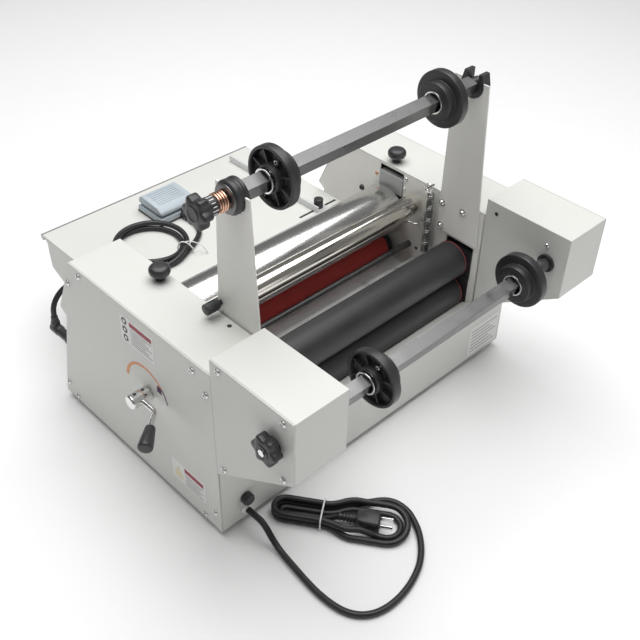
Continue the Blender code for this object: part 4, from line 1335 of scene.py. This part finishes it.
@dataclass
class FilmShaft:
    """A square film bar with its two core discs."""

    word: str
    axis: tuple[float, float]

    def build(self) -> None:
        """Dresses the bar and makes the discs."""
        dress(frame["nodes"][f"{self.word}_film_shaft"], DRAWN_STEEL)
        for side, hand in SIDES:
            self.disc(f"{self.word}_disc_{hand}", side)

    def disc(self, node: str, side: int) -> None:
        """A stepped disc with a ribbed back and a bright hub.

        Args:
            node: The node that it stands for, which is also its body.
            side: The way that its back faces, -1 or 1 along X.
        """
        back = high(node).x if side > 0 else low(node).x
        x = back - side * 0.014
        centre = at(x, *self.axis)
        ring = [(0.0118, -0.0165), (0.0240, -0.0165), (0.0240, -0.0060), (0.0255, -0.0055), (0.0350, -0.0055),
                (0.0350, 0.0055), (0.0316, 0.0055), (0.0300, -0.0015), (0.0165, -0.0015), (0.0158, 0.0085),
                (0.0118, 0.0085)]
        body = lathe("disc_body", ring, centre, (side, 0, 0), 96, closed=True, ease=0.0011)
        parts = [body]
        for i in range(8):
            turn = Matrix.Rotation(math.pi * (i + 0.5) / 4, 4, "X")
            rib = bmesh.new()
            size = Matrix.Diagonal((0.0055, 0.0148, 0.0016, 1))
            bmesh.ops.create_cube(rib, size=1.0, matrix=Matrix.Translation((side * 0.0010, 0.0233, 0)) @ size)
            bmesh.ops.transform(rib, matrix=Matrix.Translation(centre) @ turn, verts=rib.verts)
            parts.append(from_bmesh("disc_rib", rib))
        boss = [(0.0017, -0.0015), (0.0036, -0.0015), (0.0034, 0.0035), (0.0017, 0.0035)]
        boss_centre = centre + Vector((0, 0.0215 * math.cos(1.9), 0.0215 * math.sin(1.9)))
        parts.append(lathe("disc_boss", boss, boss_centre, (side, 0, 0), 32, closed=True, ease=0.0004))
        fit(joined(f"{node}_moulding", parts), MOULDED_BLACK, node, (node,))
        hub = lathe("hub_back", [(0.0117, 0.0080), (0.0140, 0.0080), (0.0140, 0.0140), (0.0117, 0.0140)],
                    centre,
                    (side, 0, 0), 64, closed=True, ease=0.0005)
        front = lathe("hub_front", [(0.0117, -0.0176), (0.0138, -0.0176), (0.0138, -0.0160),
                                    (0.0117, -0.0160)],
                      centre, (side, 0, 0), 64, closed=True, ease=0.0004)
        rim = lathe("boss_rim", [(0.0017, 0.0030), (0.0026, 0.0030), (0.0026, 0.0039), (0.0017, 0.0039)],
                    boss_centre, (side, 0, 0), 32, closed=True, ease=0.0002)
        fit(joined(f"{node}_hub", [hub, front, rim]), CHROME, node)


@dataclass
class ShaftFittings:
    """Bush, copper spring, star knobs and saddle of the two film shafts."""

    upper_axis: tuple[float, float] = (0.049, 0.418)
    lower_axis: tuple[float, float] = (-0.097, 0.230)

    def build(self) -> None:
        """Makes every fitting."""
        dress(frame["nodes"]["shaft_saddle_right"], MOULDED_BLACK)
        self.bush()
        self.star_knob("upper_star_knob", self.upper_axis, -0.2135, 0.0125, Body.UPPER_KNOB)
        self.star_knob("lower_star_knob", self.lower_axis, -0.2658, 0.0030, Body.LOWER_KNOB)
        self.ticks()
        self.sleeve()

    def bush(self) -> None:
        """Black bush in the left bracket, bright washer and copper spring."""
        centre = at(-0.1815, *self.upper_axis)
        bush = [(0.0064, 0.0155), (0.0165, 0.0155), (0.0190, 0.0135), (0.0190, 0.0082), (0.0180, 0.0076),
                (0.0180, 0.0044), (0.0190, 0.0038), (0.0190, 0.0), (0.0130, -0.0002), (0.0064, -0.0002)]
        fit(lathe("bush_body", bush, centre, (-1, 0, 0), 72, closed=True), MOULDED_BLACK,
            Body.FRAME, ("brake_bush",))
        washer = [(0.0066, 0.0158), (0.0165, 0.0158), (0.0165, 0.0172), (0.0140, 0.0178), (0.0066, 0.0178)]
        fit(lathe("bush_washer", washer, centre, (-1, 0, 0), 64, closed=True, ease=0.0003), DRAWN_STEEL,
            Body.FRAME)
        turns, sides, reach, length = 3.5, 20, 0.0102, 0.0108
        count = round(turns * sides)
        coil = [(-0.2013 - length * i / count, self.upper_axis[0] + reach * math.cos(2 * math.pi * i / sides),
                 self.upper_axis[1] + reach * math.sin(2 * math.pi * i / sides)) for i in range(count + 1)]
        fit(wire("brake_spring", coil, 0.0012), COPPER, Body.UPPER_SHAFT, ("tension_spring",))

    def star_knob(self, node: str, axis: Point, x: float, collar: float, body: Body) -> None:
        """A six-lobed knob on a round collar.

        Args:
            node: The node that it stands for.
            axis: The (Y, Z) of its axis.
            x: Where its collar starts.
            collar: How long the collar is.
            body: The body that it rides on.
        """
        neck = lathe("knob_collar", [(0, collar + 0.001), (0.0105, collar + 0.001), (0.0105, 0.0), (0, 0)],
                     at(x, *axis), (-1, 0, 0), 48)
        outline = lobed(axis, 0.0185, 0.0042, 6, 96)
        head = slab("knob_head", outline, (x - collar, x - collar - 0.013), Along.X, 0.0026, 4)
        cap = lathe("knob_cap", [(0, 0.0005), (0.0068, 0.0005), (0.0080, 0.0012), (0.0090, 0.0002),
                                 (0.0090, -0.002)],
                    at(x - collar - 0.013, *axis), (-1, 0, 0), 48, ease=0.0003)
        fit(joined(f"{node}_moulding", [neck, head, cap]), MOULDED_BLACK, body, (node,))

    def ticks(self) -> None:
        """White marks round the upper knob's collar, and the lower knob's bright bolt."""
        y, z = self.upper_axis
        marks = []
        for i in range(16):
            mark = bmesh.new()
            size = Matrix.Diagonal((0.0075 if i % 4 == 0 else 0.0048, 0.0009, 0.0005, 1))
            bmesh.ops.create_cube(mark, size=1.0, matrix=Matrix.Translation((0, 0, 0.0106)) @ size)
            turn = Matrix.Translation(at(-0.2185, y, z)) @ Matrix.Rotation(math.pi * i / 8, 4, "X")
            bmesh.ops.transform(mark, matrix=turn, verts=mark.verts)
            marks.append(from_bmesh("mark", mark))
        fit(joined("tension_marks", marks), NYLON, Body.UPPER_KNOB)
        bolt = slab("knob_bolt", lobed(self.lower_axis, 0.0046, 0.0006, 6, 24), (-0.2812, -0.2838), Along.X,
                    0.0005)
        fit(bolt, CHROME, Body.LOWER_KNOB)

    def sleeve(self) -> None:
        """Black ring where the lower shaft meets the right front box."""
        ring = [(0.0087, 0.0), (0.0120, 0.0), (0.0120, 0.0032), (0.0087, 0.0032)]
        fit(lathe("sleeve_ring", ring, at(0.1897, *self.lower_axis), (-1, 0, 0), 48, closed=True,
                  ease=0.0006),
            MOULDED_BLACK, Body.FRAME)


# Crank


@dataclass
class Crank:
    """Pressure shaft, chromed crank with its grip, and the pressure scale on the side panel."""

    axis: tuple[float, float] = (0.125, 0.144)
    hub_x: float = -0.2658
    bend: tuple[tuple[float, float, float], ...] = (
        (-0.2795, 0.1200, 0.1440), (-0.2795, 0.1050, 0.1440), (-0.2795, 0.0975, 0.1439),
        (-0.2818, 0.0925, 0.1438),
        (-0.2905, 0.0845, 0.1435),
    )
    grip_start: tuple[float, float, float] = (-0.29753, 0.07813, 0.14302)
    grip_direction: tuple[float, float, float] = (-0.74, -0.67, -0.05)

    def build(self) -> None:
        """Makes the crank and its scale."""
        dress(frame["nodes"]["pressure_shaft"], DRAWN_STEEL)
        self.arm()
        self.grip()
        self.scale()

    def arm(self) -> None:
        """Hub with its set screws, and the bent rod."""
        hub = [(0, 0.0275), (0.0080, 0.0275), (0.0094, 0.0258), (0.0094, 0.0012), (0.0084, 0), (0, 0)]
        centre = at(self.hub_x, *self.axis)
        body = lathe("crank_hub", hub, centre, (-1, 0, 0), 72)
        ahead = Vector(self.grip_direction).normalized()
        start = Vector(self.grip_start)
        bend = [*map(Vector, self.bend), start, start + ahead * 0.0275]
        rod = as_mesh(wire("crank_rod", smooth(bend, 0.0025), 0.0033, 5))
        bpy.context.view_layer.update()
        fit(joined("crank_casting", [body, rod]), CHROME, Body.CRANK, ("crank_arm",))
        sockets = [lathe("set_screw", [(0, 0.0004), (0.0021, 0.0004), (0.0021, -0.0010)],
                         at(self.hub_x - reach, self.axis[0], self.axis[1] + 0.0092), (0, 0, 1), 24, ease=0)
                   for reach in (0.0080, 0.0195)]
        fit(joined("crank_set_screws", sockets), MOULDED_BLACK, Body.CRANK)

    def grip(self) -> None:
        """Tapered grip."""
        profile = [(0.0042, 0.0), (0.0055, 0.0), (0.0062, 0.0015), (0.0072, 0.0100), (0.0082, 0.0180),
                   (0.0088, 0.0250), (0.0090, 0.0290), (0.0086, 0.0312), (0.0066, 0.0322), (0.0, 0.0325)]
        piece = lathe("grip_moulding", profile, at(*self.grip_start), self.grip_direction, 64, ease=0.0008)
        fit(piece, MOULDED_BLACK, Body.GRIP, ("crank_grip",))

    def scale(self) -> None:
        """Wedge-shaped pressure scale round the crank, from orange to dark purple."""
        centre, steps = (0.128, 0.140), 40
        first, last = 8.0, 168.0

        def wedge(name: str, start: float, end: float, finish: Finish, rise: float) -> None:
            """A stretch of the scale between two angles.

            Args:
                name: Its name.
                start: Its first angle in degrees.
                end: Its last angle in degrees.
                finish: Its finish.
                rise: How far it stands proud.
            """
            angles = [start + (end - start) * i / steps for i in range(steps + 1)]
            widths = [0.0045 - 0.0033 * (a - first) / (last - first) for a in angles]
            outer = [(centre[0] + (0.0400 + w / 2) * math.cos(math.radians(a)),
                      centre[1] + (0.0400 + w / 2) * math.sin(math.radians(a)))
                     for a, w in zip(angles, widths)]
            inner = [(centre[0] + (0.0400 - w / 2) * math.cos(math.radians(a)),
                      centre[1] + (0.0400 - w / 2) * math.sin(math.radians(a)))
                     for a, w in zip(angles, widths)]
            piece = slab(name, outer + inner[::-1], (-0.26505, -0.2650 - rise), Along.X)
            fit(piece, finish, Body.FRAME)

        wedge("pressure_scale", first, 138.0, ORANGE, 0.0004)
        wedge("pressure_scale_high", 139.0, last, PURPLE, 0.0004)
        block_mark = block("pressure_scale_mark", (-0.2655, 0.0990, 0.1580), (-0.26505, 0.1065, 0.1675))
        fit(block_mark, PURPLE, Body.FRAME)


# Deck and feed table


@dataclass
class Deck:
    """Knobs on the cabinets, the bracket's lock knob, and the feed table's guide and hem."""

    knob: tuple[float, float] = (0.203, 0.172)
    top: float = 0.2523
    guide_x: float = 0.150
    guide_y: float = 0.271
    table: float = 0.150

    def build(self) -> None:
        """Makes everything on the deck and the table."""
        for side, word in SIDES:
            self.deck_knob(side, word)
        self.lock_knob()
        self.holes()
        self.hem()
        self.guide()

    def deck_knob(self, side: int, word: str) -> None:
        """A black mushroom knob on its stem.

        Args:
            side: -1 for the left cabinet and 1 for the right one.
            word: The side in words.
        """
        cap = [(0, 0.0205), (0.0060, 0.0203), (0.0105, 0.0188), (0.0128, 0.0160), (0.0130, 0.0120),
               (0.0118, 0.0090),
               (0.0070, 0.0078), (0.0056, 0.0070), (0.0056, 0.0003), (0.0035, 0.0003), (0.0035, -0.0035),
               (0, -0.0035)]
        node = f"deck_knob_{word}"
        piece = lathe(f"{node}_moulding", cap, at(side * self.knob[0], self.knob[1], self.top), (0, 0, 1), 72,
                      ease=0.0008)
        fit(piece, MOULDED_BLACK, node, (node,))

    def lock_knob(self) -> None:
        """Knurled lock knob on the left bracket."""
        axis = (0.078, 0.266)
        body = slab("knurl", lobed(axis, 0.0068, 0.0005, 24, 144), (-0.1950, -0.2107), Along.X, 0.0008, 2)
        stem = lathe("lock_stem", [(0, 0.010), (0.0030, 0.010), (0.0030, 0), (0, 0)], at(-0.1862, *axis),
                     (-1, 0, 0), 32)
        collar = lathe("lock_collar", [(0, 0.0090), (0.0056, 0.0090), (0.0056, 0.0060), (0, 0.0060)],
                       at(-0.1862, *axis), (-1, 0, 0), 48)
        fit(joined("lock_knob_moulding", [body, stem, collar]), MOULDED_BLACK,
            Body.LOCK_KNOB,
            ("bracket_lock_knob",))

    def holes(self) -> None:
        """Plug in the left cabinet's spare hole, and the shade under the table's guide slot."""
        plug = lathe("spare_hole", [(0, 0.0004), (0.0026, 0.0004), (0.0028, 0.0001)],
                     at(-0.198, 0.0525, self.top),
                     (0, 0, 1), 24, ease=0)
        fit(plug, MOULDED_BLACK, Body.FRAME)
        x_low, x_high = 0.1122, 0.1858
        shade = block("slot_shade", (x_low, self.guide_y - 0.0019, self.table - 0.0016),
                      (x_high, self.guide_y + 0.0019, self.table - 0.0011))
        fit(shade, MOULDED_BLACK, Body.FRAME)

    def hem(self) -> None:
        """Dark bead along the table's rear hem."""
        half = 0.1897
        outline = arc((0.483, self.table - 0.004), 0.0046, 100, -160, 14) + arc(
            (0.483, self.table - 0.004), 0.0041, -160, 100, 14)
        bead = slab("table_bead", outline, (-half, half), Along.X)
        fit(bead, DARK_GREY, Body.FRAME)

    def guide(self) -> None:
        """Milky paper guide and its knurled thumbscrew."""
        dress(frame["nodes"]["paper_guide"], ACRYLIC)
        centre = (self.guide_x, self.guide_y)
        head = slab("thumb_head", lobed(centre, 0.0070, 0.0006, 24, 144),
                    (self.table + 0.0026, self.table + 0.0168), Along.Z, 0.0007, 2)
        stem = lathe("thumb_stem", [(0, 0.0030), (0.0018, 0.0030), (0.0018, -0.0080), (0, -0.0080)],
                     at(*centre, self.table), (0, 0, 1), 24)
        fit(joined("thumbscrew_moulding", [head, stem]), MOULDED_BLACK, Body.THUMBSCREW,
            ("guide_thumbscrew",))


def clear_startup() -> None:
    """Removes whatever the startup file left beside the frame."""
    known = {*frame["nodes"].values(), *frame["bodies"].values()}
    for obj in list(bpy.data.objects):
        if obj not in known:
            bpy.data.objects.remove(obj, do_unlink=True)


def main() -> None:
    """Builds the studio and every sub-assembly."""
    logging.basicConfig(level=logging.INFO, format="%(name)s: %(message)s")
    clear_startup()
    assemblies = (
        Studio(), MainsLead(), FootSwitch(), Casing(), RollerSet(),
        FilmShaft("upper", (0.049, 0.418)), FilmShaft("lower", (-0.097, 0.230)),
        ShaftFittings(), Crank(), Deck(),
    )
    for assembly in assemblies:
        LOG.info("building %s", type(assembly).__name__)
        assembly.build()
    bpy.context.view_layer.update()


if __name__ == "__main__":
    main()
